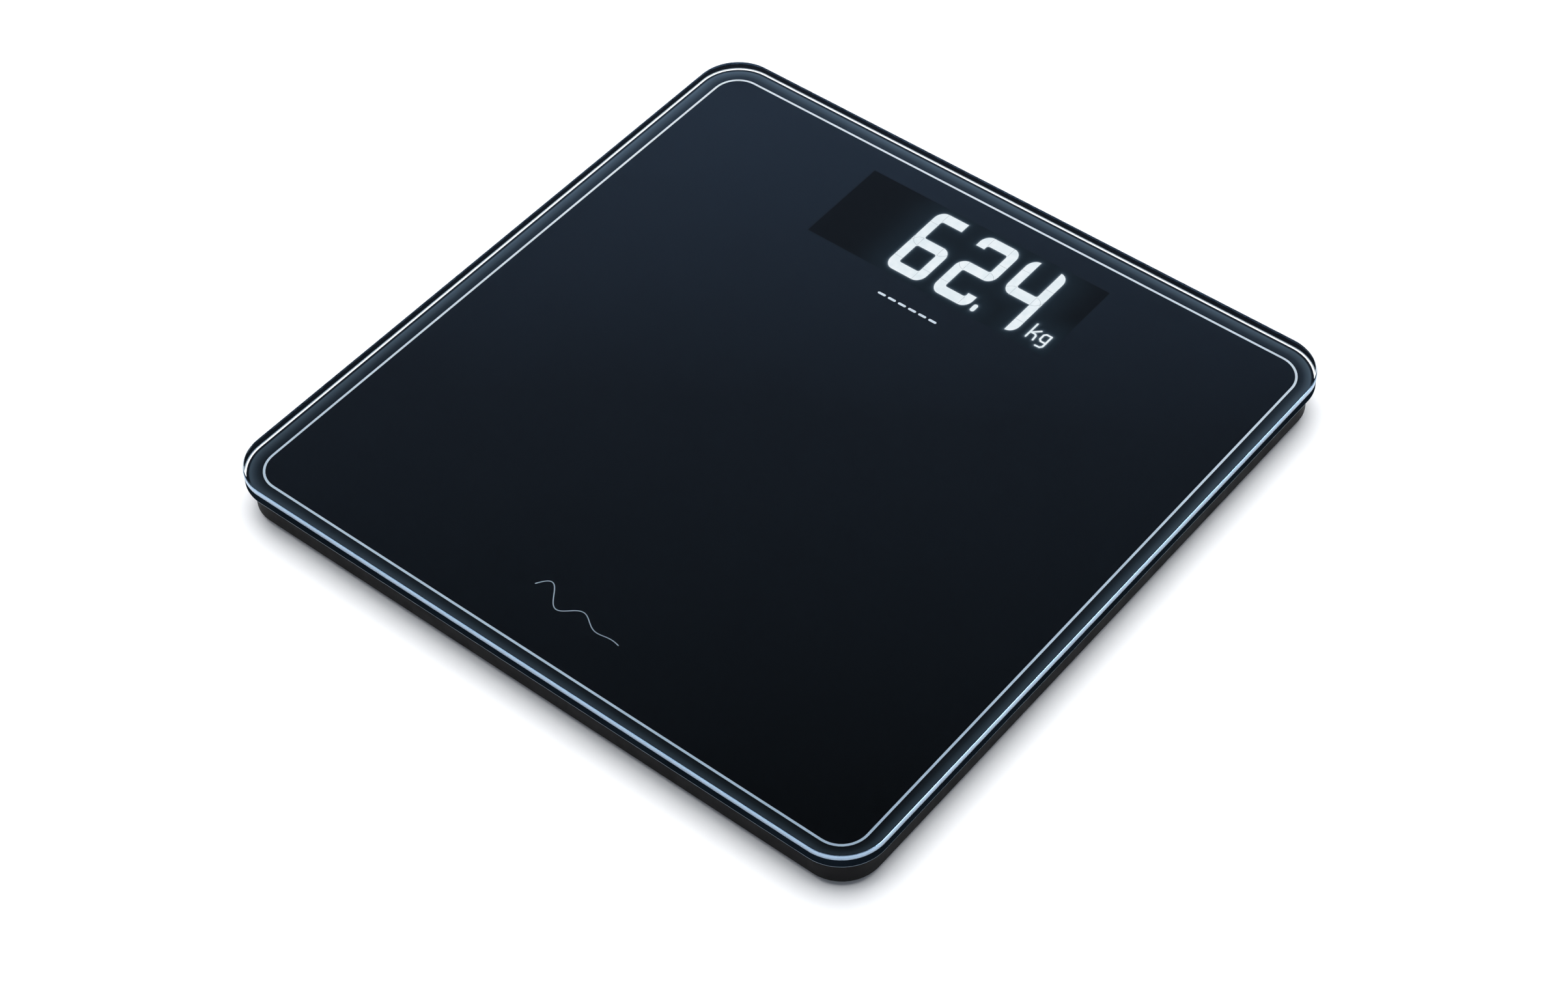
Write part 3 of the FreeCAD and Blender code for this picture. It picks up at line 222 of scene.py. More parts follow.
def black_print():
    """Screen-printed blue-black enamel with painted shading, lighter away from the user and to the left, and
    a painted reflection as a blue glow along its rim.
    """
    shader = Shader("black_print")
    cloud = shader.maths("MULTIPLY", shader.noise(60, detail=2), 0.06)
    level = shader.maths("ADD", painted_shade_across(shader), cloud)
    # Painted shading: the print's blue-black gets lighter far on the left and darker near on the right.
    print_with_painted_shade = shader.ramp(level, [(0.05, (0.0012, 0.0018, 0.0024)), (0.55, (0.0050, 0.0072, 0.0105)),
                                 (1.0, (0.0140, 0.0220, 0.0340))])
    # Painted reflection: a brighter blue glow along the rim, shaded the same way; the inset ramp below places
    # it a few millimetres in from the edge.
    painted_rim_glow = shader.ramp(level, [(0.1, (0.040, 0.058, 0.075)), (0.45, (0.055, 0.080, 0.105)),
                               (0.9, (0.10, 0.145, 0.195))])
    inset = shader.maths("MULTIPLY", rim_distance(shader, GLASS_HIGH.x, GLASS_CORNER), 0.1)
    strength = shader.ramp(inset, [(0.20, (0, 0, 0)), (0.25, (1, 1, 1)), (0.40, (0.60, 0.60, 0.60)),
                                   (0.60, (0.20, 0.20, 0.20)), (0.85, (0, 0, 0))])
    tone = shader.mix(strength, print_with_painted_shade, painted_rim_glow)
    shader.link(tone, shader.principled.inputs["Base Color"])
    shader.link(shader.remap(shader.noise(9), 0.45, 0.6), shader.principled.inputs["Roughness"])
    shader.bump(shader.noise(0.5), 0.04, 0.004)
    shader.set(Specular_IOR_Level=0.0)
    return shader.material


def silver_ink():
    """Metallic ink with a fine flake and the print's painted shading: lighter far on the left, darker near on
    the right.
    """
    shader = Shader("silver_ink")
    flake = shader.noise(0.25, detail=1)
    level = shader.maths("ADD", painted_shade_across(shader), shader.maths("MULTIPLY", flake, 0.25))
    # Painted shading: the ink runs from dark near the user's right to pale far on the left.
    tone = shader.ramp(level, [(0.1, (0.32, 0.42, 0.53)), (0.5, (0.49, 0.59, 0.68)),
                               (1.0, (0.80, 0.85, 0.89))])
    shader.link(tone, shader.principled.inputs["Base Color"])
    shader.link(shader.remap(flake, 0.4, 0.55), shader.principled.inputs["Roughness"])
    shader.bump(flake, 0.2, 0.004)
    shader.set(Metallic=0.1)
    return shader.material


def painted_edge_highlight():
    """A painted highlight: a pale metallic band along the upper part of the glass's side, faintly drawn,
    standing in for the shine on its polished edge.
    """
    shader = Shader("painted_edge_highlight")
    drawn = shader.noise(6, detail=4, stretch=(1, 1, 8))
    tone = shader.ramp(drawn, [(0.3, (0.27, 0.38, 0.51)), (0.7, (0.34, 0.46, 0.60))])
    shader.link(tone, shader.principled.inputs["Base Color"])
    shader.link(shader.remap(drawn, 0.22, 0.32), shader.principled.inputs["Roughness"])
    shader.bump(drawn, 0.02, 0.005)
    shader.set(Metallic=1.0)
    return shader.material


def clear_glass():
    """Toughened float glass with its faint green-blue body colour and pale polished rim."""
    shader = Shader("clear_glass")
    rim = shader.attribute("rim")
    ripple = shader.noise(40, detail=1)
    shader.set(Transmission_Weight=1.0, IOR=1.38, Roughness=0.0)
    tone = shader.mix(rim, (0.97, 0.99, 1.0), (0.80, 0.93, 1.0))
    shader.link(tone, shader.principled.inputs["Base Color"])
    shader.link(shader.remap(shader.noise(30), 0.0, 0.012), shader.principled.inputs["Roughness"])
    shader.bump(ripple, 0.02, 0.01)
    return shader.material


def smoked_film():
    """Clear smoked film, for the window's own sheet in the CAD frame."""
    shader = Shader("smoked_film")
    shader.set(Transmission_Weight=1.0, IOR=1.05, Roughness=0.0)
    cloud = shader.noise(25, detail=2)
    shader.link(shader.ramp(cloud, [(0.3, (0.70, 0.74, 0.78)), (0.7, (0.76, 0.80, 0.84))]),
                shader.principled.inputs["Base Color"])
    shader.bump(shader.noise(0.4), 0.02, 0.002)
    return shader.material


def lit_segment():
    """Evenly lit light pipe: nearly white, its tint varying faintly in clouds."""
    shader = Shader("lit_segment")
    cloud = shader.noise(4, detail=3)
    light = shader.ramp(cloud, [(0.3, (0.76, 0.84, 0.88)), (0.7, (0.86, 0.91, 0.94))])
    body = shader.ramp(cloud, [(0.3, (0.010, 0.012, 0.014)), (0.7, (0.020, 0.023, 0.026))])
    shader.link(light, shader.principled.inputs["Emission Color"])
    shader.link(body, shader.principled.inputs["Base Color"])
    shader.set(Emission_Strength=1.0, Roughness=0.6, Specular_IOR_Level=0.0)
    return shader.material


def lit_film():
    """The smoked film over the display, nearly black, with the numerals' light spread on it."""
    shader = Shader("lit_film")
    glow = shader.attribute("glow")
    grain = shader.noise(0.5, detail=2)
    level = shader.maths("MULTIPLY", glow, shader.remap(grain, 0.9, 1.1))
    tone = shader.ramp(level, [(0.0, (0.0004, 0.0006, 0.0008)), (0.16, (0.0060, 0.0120, 0.0180)),
                               (0.40, (0.030, 0.046, 0.062)), (1.0, (0.32, 0.40, 0.47))])
    shader.link(tone, shader.principled.inputs["Emission Color"])
    shader.link(shader.ramp(grain, [(0.3, (0.0015, 0.0022, 0.0028)), (0.7, (0.0030, 0.0040, 0.0050))]),
                shader.principled.inputs["Base Color"])
    shader.set(Emission_Strength=1.0, Roughness=0.6, Specular_IOR_Level=0.0)
    return shader.material


def circuit_board():
    """Green solder mask over copper tracks, with bright pads."""
    shader = Shader("circuit_board")
    tracks = shader.add("ShaderNodeTexBrick")
    tracks.inputs["Scale"].default_value = 1.0
    tracks.inputs["Mortar Size"].default_value = 0.05
    tracks.inputs["Color1"].default_value = (0.010, 0.10, 0.035, 1)
    tracks.inputs["Color2"].default_value = (0.012, 0.12, 0.042, 1)
    tracks.inputs["Mortar"].default_value = (0.03, 0.22, 0.09, 1)
    shader.link(shader.stretched((0.4, 0.4, 0.4)), tracks.inputs["Vector"])
    shader.link(tracks.outputs["Color"], shader.principled.inputs["Base Color"])
    shader.link(shader.remap(shader.noise(3), 0.25, 0.4), shader.principled.inputs["Roughness"])
    shader.bump(tracks.outputs["Fac"], 0.3, 0.03)
    return shader.material


def battery_wrap():
    """Printed sleeve of a cell: dark body with a copper-coloured band."""
    shader = Shader("battery_wrap")
    along = shader.separate()["X"]
    band = shader.remap(along, 0.0, 1.0, DOOR_LOW.x, DOOR_HIGH.x)
    wear = shader.noise(1.2, detail=4, stretch=(0.2, 1, 1))
    tone = shader.ramp(shader.maths("ADD", band, shader.maths("MULTIPLY", wear, 0.01)),
                       [(0.0, (0.40, 0.40, 0.40)), (0.12, (0.02, 0.03, 0.05)), (0.70, (0.02, 0.03, 0.05)),
                        (0.72, (0.45, 0.24, 0.08))])
    shader.link(tone, shader.principled.inputs["Base Color"])
    shader.link(shader.remap(wear, 0.25, 0.4), shader.principled.inputs["Roughness"])
    shader.bump(wear, 0.1, 0.01)
    shader.set(Metallic=0.6)
    return shader.material


MATERIALS = {
    "clear_glass": clear_glass(),
    "black_print": black_print(),
    "silver_ink": silver_ink(),
    "smoked_film": smoked_film(),
    "foam_tape": moulded("foam_tape", (0.03, 0.03, 0.032), (0.05, 0.05, 0.052), (0.8, 0.95), 0.6, 0.08),
    "tray_plastic": moulded("tray_plastic", (0.0042, 0.0042, 0.0047), (0.0066, 0.0066, 0.0073),
                            (0.42, 0.55), Specular_IOR_Level=0.04),
    "door_plastic": moulded("door_plastic", (0.0046, 0.0046, 0.005), (0.0070, 0.0070, 0.0078),
                            (0.4, 0.52), Specular_IOR_Level=0.06),
    "foot_plastic": moulded("foot_plastic", (0.010, 0.010, 0.011), (0.014, 0.014, 0.015), (0.4, 0.55)),
    "retainer_plastic": moulded("retainer_plastic", (0.60, 0.60, 0.56), (0.72, 0.72, 0.68)),
    "pad_rubber": moulded("pad_rubber", (0.030, 0.030, 0.031), (0.045, 0.045, 0.047),
                          (0.7, 0.85), 0.5, 0.05),
    "load_cell_steel": metal("load_cell_steel", (0.45, 0.45, 0.44), (0.62, 0.62, 0.60)),
    "potting": moulded("potting", (0.75, 0.75, 0.70), (0.85, 0.85, 0.80), (0.3, 0.45), 1.5, 0.05),
    "lead_sheath": moulded("lead_sheath", (0.25, 0.25, 0.26), (0.33, 0.33, 0.34), (0.45, 0.6), 0.8),
    "red_wire": moulded("red_wire", (0.45, 0.015, 0.012), (0.58, 0.025, 0.02), (0.35, 0.5), 0.8),
    "black_wire": moulded("black_wire", (0.012, 0.012, 0.012), (0.02, 0.02, 0.02), (0.35, 0.5), 0.8),
    "zinc_screws": metal("zinc_screws", (0.55, 0.56, 0.56), (0.72, 0.73, 0.72),
                         (0.25, 0.4), (1, 1, 1), 0.6),
    "battery_wrap": battery_wrap(),
    "nickel_plate": metal("nickel_plate", (0.66, 0.63, 0.56), (0.80, 0.77, 0.70),
                          (0.15, 0.3), (1, 3, 3), 1.0),
    "circuit_board": circuit_board(),
    "connector_plastic": moulded("connector_plastic", (0.70, 0.67, 0.58), (0.80, 0.77, 0.68)),
    "chip_package": moulded("chip_package", (0.012, 0.012, 0.012), (0.02, 0.02, 0.02), (0.5, 0.65), 0.3),
    "component_body": moulded("component_body", (0.04, 0.04, 0.045), (0.08, 0.08, 0.09), (0.3, 0.5), 0.5),
    "lit_segment": lit_segment(),
    "dark_segment": moulded("dark_segment", (0.004, 0.005, 0.007), (0.007, 0.009, 0.012), (0.3, 0.45), 1.0),
    "led_package": moulded("led_package", (0.80, 0.78, 0.55), (0.88, 0.86, 0.66), (0.3, 0.45), 0.5),
    "display_black": moulded("display_black", (0.004, 0.0045, 0.005), (0.007, 0.008, 0.009),
                             (0.6, 0.75), 0.4),
    "ribbon_film": moulded("ribbon_film", (0.62, 0.62, 0.58), (0.75, 0.75, 0.70), (0.3, 0.45), 1.0),
}


# ---------------------------------------------------------------- mesh helpers
def finish_piece(name, mesh, material, body):
    piece = bpy.data.objects.new(name, mesh)
    bpy.context.scene.collection.objects.link(piece)
    piece.data.materials.append(material)
    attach(piece, body)
    return piece


def plate_loop(inset):
    """Points anticlockwise round the glass plate's outline, set in by so much."""
    half_x, half_y, corner = GLASS_HIGH.x - inset, GLASS_HIGH.y - inset, GLASS_CORNER - inset
    points = []
    for quarter, (side_x, side_y) in enumerate([(1, 1), (-1, 1), (-1, -1), (1, -1)]):
        for step in range(CORNER_STEPS + 1):
            turn = math.pi / 2 * (quarter + step / CORNER_STEPS)
            points.append((side_x * (half_x - corner) + corner * math.cos(turn),
                           side_y * (half_y - corner) + corner * math.sin(turn)))
    return points


def arc_levels(radius, inset, height, from_tilt, to_tilt, steps):
    """Inset and height pairs over an arc whose centre is at that inset and height; tilt 0 faces out."""
    pairs = []
    for step in range(steps + 1):
        tilt = from_tilt + (to_tilt - from_tilt) * step / steps
        pairs.append((inset - radius * math.cos(tilt), height + radius * math.sin(tilt)))
    return pairs


def band_faces(bm, lower, upper):
    """One face between each pair of neighbouring points of two equal loops."""
    for index in range(len(lower)):
        after = (index + 1) % len(lower)
        bm.faces.new((lower[index], lower[after], upper[after], upper[index]))


def mesh_from(bm, name):
    mesh = bpy.data.meshes.new(name)
    bm.to_mesh(mesh)
    bm.free()
    return mesh


def stacked_slab(name, levels, material, body):
    """A closed slab from plate outlines stacked upwards, each set in by so much."""
    bm = bmesh.new()
    rim = bm.verts.layers.float.new("rim")
    loops = []
    for inset, height in levels:
        loop = []
        for x, y in plate_loop(inset):
            vertex = bm.verts.new((x, y, height))
            vertex[rim] = max(0.0, 1.0 - inset / EDGE_TOP)
            loop.append(vertex)
        loops.append(loop)
    for lower, upper in zip(loops, loops[1:]):
        band_faces(bm, lower, upper)
    bm.faces.new(list(reversed(loops[0])))
    bm.faces.new(loops[-1])
    for face in bm.faces:
        face.smooth = True
    return finish_piece(name, mesh_from(bm, name), material, body)


def closed_ring(name, section, material, body):
    """A frame of constant section run round the plate, smooth along its length."""
    bm = bmesh.new()
    loops = [[bm.verts.new((x, y, height)) for x, y in plate_loop(inset)] for inset, height in section]
    for lower, upper in zip(loops, loops[1:] + loops[:1]):
        band_faces(bm, lower, upper)
    mesh = mesh_from(bm, name)
    for polygon in mesh.polygons:
        polygon.use_smooth = True
    mesh.set_sharp_from_angle(angle=SMOOTH_LIMIT)
    return finish_piece(name, mesh, material, body)


def flat_piece(name, shapes, height, material, body="platform", thickness=0.0):
    """Level outlines at one height, as faces, or as thin prisms where a thickness is given."""
    bm = bmesh.new()
    for shape in shapes:
        face = bm.faces.new([bm.verts.new((x, y, height)) for x, y in shape])
        if signed_area(shape) < 0:
            face.normal_flip()
    if thickness:
        grown = bmesh.ops.extrude_face_region(bm, geom=list(bm.faces))
        lowered = [item for item in grown["geom"] if isinstance(item, bmesh.types.BMVert)]
        bmesh.ops.translate(bm, verts=lowered, vec=(0, 0, -thickness))
        bmesh.ops.recalc_face_normals(bm, faces=list(bm.faces))
    return finish_piece(name, mesh_from(bm, name), material, body)


def signed_area(shape):
    """An outline's area, negative where it runs clockwise."""
    return sum(a[0] * b[1] - b[0] * a[1] for a, b in zip(shape, shape[1:] + shape[:1])) / 2


# ---------------------------------------------------------------- glass platform
def make_glass():
    """The plate, bonded to the print, and what shows along its side.

    The plate has flat faces, upright polished sides and small rounded arrises.  A painted highlight, a pale
    metallic band, runs round its upper side; painted shade, a dark sheet, covers the side below; and a thin
    pale line of painted highlight marks the lower arris.
    """
    low, high = GLASS_LOW.z - BOND_DEPTH, GLASS_HIGH.z
    under_centre = low + EDGE_UNDER
    band_top = high - EDGE_TOP
    levels = [(EDGE_UNDER + FLAT_MARGIN, low)]
    levels += arc_levels(EDGE_UNDER, EDGE_UNDER + BAND_DEEP, under_centre, -math.pi / 2, 0, 8)
    levels += arc_levels(EDGE_TOP, EDGE_TOP + BAND_DEEP, band_top, 0, math.pi / 2, 10)
    levels += [(EDGE_TOP + FLAT_MARGIN, high)]
    glass = stacked_slab("glass_plate", levels, MATERIALS["clear_glass"], "platform")
    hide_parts("glass_platform")

    line_centre = under_centre + BOND_DEPTH
    # Painted shade: a dark, unshining sheet over the glass's side, from the lower arris up to the band.
    painted = [(0.0, line_centre), (0.0, band_top - BAND_HEIGHT)]
    painted += [(2 * BAND_DEEP, height) for _, height in painted[::-1]]
    painted_side_shade = moulded("painted_side_shade", (0.0035, 0.006, 0.009), (0.006, 0.010, 0.015), (0.35, 0.45), 1.0,
                         Specular_IOR_Level=0.0)
    closed_ring("painted_side_shade", painted, painted_side_shade, "platform")

    # Painted highlight: a thin pale line of silver ink round the glass's lower arris.
    line = arc_levels(EDGE_UNDER, EDGE_UNDER, line_centre, *ARRIS_HIGHLIGHT_TILTS, 4)
    behind = [(inset + 2 * BAND_DEEP, height + BAND_DEEP) for inset, height in line]
    closed_ring("painted_arris_highlight", line + behind[::-1], MATERIALS["silver_ink"], "platform")

    # Painted highlight: a pale metallic band over the upper side and top arris of the glass.
    band = [(0.0, band_top - BAND_HEIGHT)]
    band += arc_levels(EDGE_TOP, EDGE_TOP, band_top, 0, BAND_TILT, 6)
    step_in = 2 * BAND_DEEP * math.cos(BAND_TILT)
    behind = [(inset + step_in, height - 2 * BAND_DEEP) for inset, height in band]
    closed_ring("painted_highlight_band", band + behind[::-1], painted_edge_highlight(), "platform")


# ---------------------------------------------------------------- numerals
CELL_W, CELL_H = 20.8 * MM, 44.6 * MM
STROKE, BAR = 4.7 * MM, 5.8 * MM
STUB, LONG_STUB = 8.6 * MM, 12.6 * MM
INNER = 1.2 * MM
SEAM = 0.14 * MM
DIGIT_BOTTOM = DIGITS_LOW.y
FACE_HEIGHT = FILM_HIGH.z + LAYER_GAP
DIGIT_HEIGHT = FACE_HEIGHT + LAYER_GAP
SEAM_HEIGHT = DIGIT_HEIGHT + LAYER_GAP
DIGIT_PITCH = 26.55 * MM
FIRST_DIGIT = DIGITS_LOW.x
POINT_BACK, POINT_WIDTH, POINT_HEIGHT = 2.8 * MM, 2.3 * MM, 4.9 * MM
UNIT_GAP, UNIT_STROKE = 5.1 * MM, 0.95 * MM
CIRCLE_STEPS = 12
GLOW_COLUMNS, GLOW_ROWS = 180, 68
HALO_REACH, SPILL_REACH = 0.7 * MM, 11 * MM
HALO_LEVEL, SPILL_LEVEL = 0.55, 0.14


def oblong(x0, y0, x1, y1):
    return [(x0, y0), (x1, y0), (x1, y1), (x0, y1)]


def quadrant(x, y, side_x, side_y, steps=10):
    """A quarter of the stroke's round corner, centred on x, y."""
    arc = [(x + side_x * STROKE * math.sin(math.pi / 2 * step / steps),
            y + side_y * BAR * math.cos(math.pi / 2 * step / steps)) for step in range(steps + 1)]
    return [(x, y)] + arc


def web(x, y, side_x, side_y, steps=5):
    """The small rounded fill of an inner corner."""
    centre_x, centre_y = x + side_x * INNER, y + side_y * INNER
    arc = [(centre_x - side_x * INNER * math.cos(math.pi / 2 * step / steps),
            centre_y - side_y * INNER * math.sin(math.pi / 2 * step / steps)) for step in range(steps + 1)]
    return [(x, y)] + arc


LEFT, RIGHT = STROKE, CELL_W - STROKE
LOW, HIGH = BAR, CELL_H - BAR
MID_LOW, MID_HIGH = (CELL_H - BAR) / 2, (CELL_H + BAR) / 2
TOP_BAR = oblong(LEFT, HIGH, RIGHT, CELL_H)
MID_BAR = oblong(LEFT, MID_LOW, RIGHT, MID_HIGH)
LOW_BAR = oblong(LEFT, 0, RIGHT, LOW)

SIX = [quadrant(LEFT, HIGH, -1, 1), TOP_BAR, oblong(0, LOW, LEFT, HIGH), MID_BAR,
       quadrant(RIGHT, MID_LOW, 1, 1), oblong(RIGHT, LOW, CELL_W, MID_LOW),
       quadrant(RIGHT, LOW, 1, -1), quadrant(LEFT, LOW, -1, -1), LOW_BAR,
       web(LEFT, HIGH, 1, -1), web(LEFT, MID_HIGH, 1, 1), web(LEFT, MID_LOW, 1, -1),
       web(RIGHT, MID_LOW, -1, -1), web(LEFT, LOW, 1, 1), web(RIGHT, LOW, -1, 1)]
TWO = [quadrant(LEFT, HIGH, -1, 1), oblong(0, CELL_H - STUB, LEFT, HIGH), TOP_BAR,
       quadrant(RIGHT, HIGH, 1, 1), oblong(RIGHT, MID_HIGH, CELL_W, HIGH),
       quadrant(RIGHT, MID_HIGH, 1, -1), MID_BAR, quadrant(LEFT, MID_LOW, -1, 1),
       oblong(0, LOW, LEFT, MID_LOW), quadrant(LEFT, LOW, -1, -1), LOW_BAR,
       quadrant(RIGHT, LOW, 1, -1), oblong(RIGHT, LOW, CELL_W, STUB),
       web(LEFT, HIGH, 1, -1), web(RIGHT, HIGH, -1, -1), web(RIGHT, MID_HIGH, -1, 1),
       web(LEFT, MID_LOW, 1, -1), web(LEFT, LOW, 1, 1), web(RIGHT, LOW, -1, 1)]
FOUR = [quadrant(LEFT, HIGH, -1, 1), oblong(0, MID_HIGH, LEFT, HIGH), quadrant(LEFT, MID_HIGH, -1, -1),
        MID_BAR, oblong(RIGHT, LOW, CELL_W, HIGH), quadrant(RIGHT, HIGH, 1, 1),
        quadrant(RIGHT, LOW, 1, -1), web(LEFT, MID_HIGH, 1, 1), web(RIGHT, MID_HIGH, -1, 1)]

# Seams: bars crossed at their ends, columns crossed where two light pipes meet.
BARS = {"top": (HIGH, CELL_H), "mid": (MID_LOW, MID_HIGH), "low": (0, LOW)}
SIX_SEAMS = [("top", LEFT), ("mid", LEFT), ("mid", RIGHT), ("low", RIGHT)]
TWO_SEAMS = [("top", LEFT), ("top", RIGHT), ("mid", LEFT), ("mid", RIGHT), ("low", RIGHT)]
FOUR_SEAMS = [("mid", LEFT), ("mid", RIGHT)]
SIX_JOINS = [(0, CELL_H - STUB), (0, STUB), (RIGHT, STUB)]
TWO_JOINS = [(RIGHT, CELL_H - LONG_STUB), (0, STUB)]
FOUR_JOINS = [(0, CELL_H - STUB), (RIGHT, CELL_H - LONG_STUB), (RIGHT, STUB)]


def moved(shapes, x, y):
    return [[(px + x, py + y) for px, py in shape] for shape in shapes]


def seam_shapes(crossings, joins):
    lines = [oblong(x - SEAM / 2, BARS[bar][0], x + SEAM / 2, BARS[bar][1]) for bar, x in crossings]
    lines += [oblong(x, y - SEAM / 2, x + STROKE, y + SEAM / 2) for x, y in joins]
    return lines


def arc_line(x, y, side_x, side_y, steps=10):
    """A hairline along a quadrant's edge, as one thin quad for each step."""
    def place(radius_x, radius_y, step):
        turn = math.pi / 2 * step / steps
        return x + side_x * radius_x * math.sin(turn), y + side_y * radius_y * math.cos(turn)

    return [[place(STROKE, BAR, step), place(STROKE, BAR, step + 1),
             place(STROKE - SEAM, BAR - SEAM, step + 1), place(STROKE - SEAM, BAR - SEAM, step)]
            for step in range(steps)]


def stroke(points, width):
    """A line of constant width with round ends, as quads and discs."""
    shapes = []
    for (x0, y0), (x1, y1) in zip(points, points[1:]):
        length = math.hypot(x1 - x0, y1 - y0)
        nx, ny = -(y1 - y0) / length * width / 2, (x1 - x0) / length * width / 2
        shapes.append([(x0 - nx, y0 - ny), (x1 - nx, y1 - ny), (x1 + nx, y1 + ny), (x0 + nx, y0 + ny)])
    for x, y in points:
        turns = [math.tau * step / CIRCLE_STEPS for step in range(CIRCLE_STEPS)]
        shapes.append([(x + width / 2 * math.cos(turn), y + width / 2 * math.sin(turn)) for turn in turns])
    return shapes


def unit_mark():
    """The unit of weight beside the numerals, in single thin strokes."""
    lines = [[(0.5, 2.3), (0.5, 11.7)],
             [(4.6, 9.0), (1.0, 5.8)],
             [(1.0, 5.9), (3.3, 5.9), (4.2, 5.0), (4.4, 2.3)],
             [(10.5, 8.7), (7.8, 8.7), (6.8, 7.7), (6.8, 4.7), (7.8, 3.7), (10.5, 3.7)],
             [(10.5, 8.7), (10.5, 1.4), (9.6, 0.3), (7.2, 0.2)]]
    shapes = []
    for line in lines:
        shapes += stroke([(x * MM, y * MM) for x, y in line], UNIT_STROKE)
    return shapes


def capsule(x, y, width, height, steps=8):
    """An upright bar with round ends, centred on x and standing on y."""
    radius = width / 2
    upper = [(x + radius * math.cos(math.pi * step / steps), y + height - radius
              + radius * math.sin(math.pi * step / steps)) for step in range(steps + 1)]
    lower = [(x - radius * math.cos(math.pi * step / steps), y + radius
              - radius * math.sin(math.pi * step / steps)) for step in range(steps + 1)]
    return upper + lower


def make_display():
    """Lit numerals with a decimal point and the unit, the seams between their light pipes, and the window."""
    glyphs, seams = [], []
    numerals = [(SIX, SIX_SEAMS, SIX_JOINS), (TWO, TWO_SEAMS, TWO_JOINS), (FOUR, FOUR_SEAMS, FOUR_JOINS)]
    for index, (shapes, crossings, joins) in enumerate(numerals):
        x = FIRST_DIGIT + index * DIGIT_PITCH
        glyphs += moved(shapes, x, DIGIT_BOTTOM)
        seams += moved(seam_shapes(crossings, joins), x, DIGIT_BOTTOM)
    six, two, four = (FIRST_DIGIT + index * DIGIT_PITCH for index in range(3))
    for x, arcs in ((six, [(LEFT, MID_LOW, -1, 1), (LEFT, MID_HIGH, -1, -1), (RIGHT, MID_HIGH, 1, -1)]),
                    (two, [(LEFT, MID_HIGH, -1, -1), (RIGHT, MID_LOW, 1, 1)]),
                    (four, [(LEFT, MID_LOW, -1, 1), (RIGHT, MID_LOW, 1, 1), (RIGHT, MID_HIGH, 1, -1)])):
        for arc in arcs:
            quads = moved(arc_line(*arc), x, DIGIT_BOTTOM)
            seams += [quad for quad in quads if nearest_glyph(glyphs, *quad[0]) == 0]
    glyphs.append(capsule(four - POINT_BACK, DIGIT_BOTTOM, POINT_WIDTH, POINT_HEIGHT))
    glyphs += moved(unit_mark(), four + CELL_W + UNIT_GAP, DIGIT_BOTTOM)
    digits = flat_piece("lit_numerals", glyphs, DIGIT_HEIGHT, MATERIALS["lit_segment"])
    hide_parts("lit_segments")
    seam_shader = moulded("segment_seams", (0.30, 0.34, 0.38), (0.36, 0.40, 0.44))
    flat_piece("numeral_seams", seams, SEAM_HEIGHT, seam_shader)
    make_glow(glyphs)


def box_distance(shape, x, y):
    """How far a point is from an outline's box, or zero inside it."""
    xs, ys = [px for px, _ in shape], [py for _, py in shape]
    return math.hypot(max(min(xs) - x, 0, x - max(xs)), max(min(ys) - y, 0, y - max(ys)))


def outline_distance(shape, x, y):
    """How far a point is from an outline, or zero inside a convex one."""
    nearest, sides = math.inf, set()
    for (x0, y0), (x1, y1) in zip(shape, shape[1:] + shape[:1]):
        run_x, run_y = x1 - x0, y1 - y0
        squared = run_x * run_x + run_y * run_y
        if squared == 0:
            continue
        share = max(0.0, min(1.0, ((x - x0) * run_x + (y - y0) * run_y) / squared))
        nearest = min(nearest, math.hypot(x0 + share * run_x - x, y0 + share * run_y - y))
        sides.add(run_x * (y - y0) - run_y * (x - x0) > 0)
    return 0.0 if len(sides) == 1 else nearest


def nearest_glyph(glyphs, x, y):
    """How far a point is from the closest of the lit outlines."""
    nearest = math.inf
    for shape in glyphs:
        if box_distance(shape, x, y) < nearest:
            nearest = min(nearest, outline_distance(shape, x, y))
    return nearest


def make_glow(glyphs):
    """The window's film as a fine sheet, which carries the numerals' spilt light as a vertex value."""
    half_x = (FILM_HIGH.x - FILM_LOW.x) / 2
    low_y, high_y = FILM_LOW.y, FILM_HIGH.y
    bm = bmesh.new()
    glow = bm.verts.layers.float.new("glow")
    grid = []
    for row in range(GLOW_ROWS + 1):
        line = []
        for column in range(GLOW_COLUMNS + 1):
            x = -half_x + 2 * half_x * column / GLOW_COLUMNS
            y = low_y + (high_y - low_y) * row / GLOW_ROWS
            near = nearest_glyph(glyphs, x, y)
            halo = HALO_LEVEL * math.exp(-near / HALO_REACH)
            spill = SPILL_LEVEL * math.exp(-(near / SPILL_REACH) ** 2)
            vertex = bm.verts.new((x, y, FACE_HEIGHT))
            vertex[glow] = halo + spill
            line.append(vertex)
        grid.append(line)
    for below, above in zip(grid, grid[1:]):
        for column in range(GLOW_COLUMNS):
            bm.faces.new((below[column], below[column + 1], above[column + 1], above[column]))
    sheet = finish_piece("window_sheet", mesh_from(bm, "window_sheet"), lit_film(), "platform")
    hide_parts("window_film")


# ---------------------------------------------------------------- printed marks
DASH_COUNT, DASH_PITCH = 6, 5.8 * MM
DASH_LENGTH, DASH_WIDTH = 4.4 * MM, 1.3 * MM
FIRST_DASH, DASH_Y = -14.5 * MM, 89.3 * MM
FLOURISH_STEPS, FLOURISH_TURNS = 80, 2.25
FLOURISH_LENGTH, FLOURISH_SWING, FLOURISH_FALL = 50, 6, 4
FLOURISH_Y, FLOURISH_STROKE = -137, 0.45 * MM


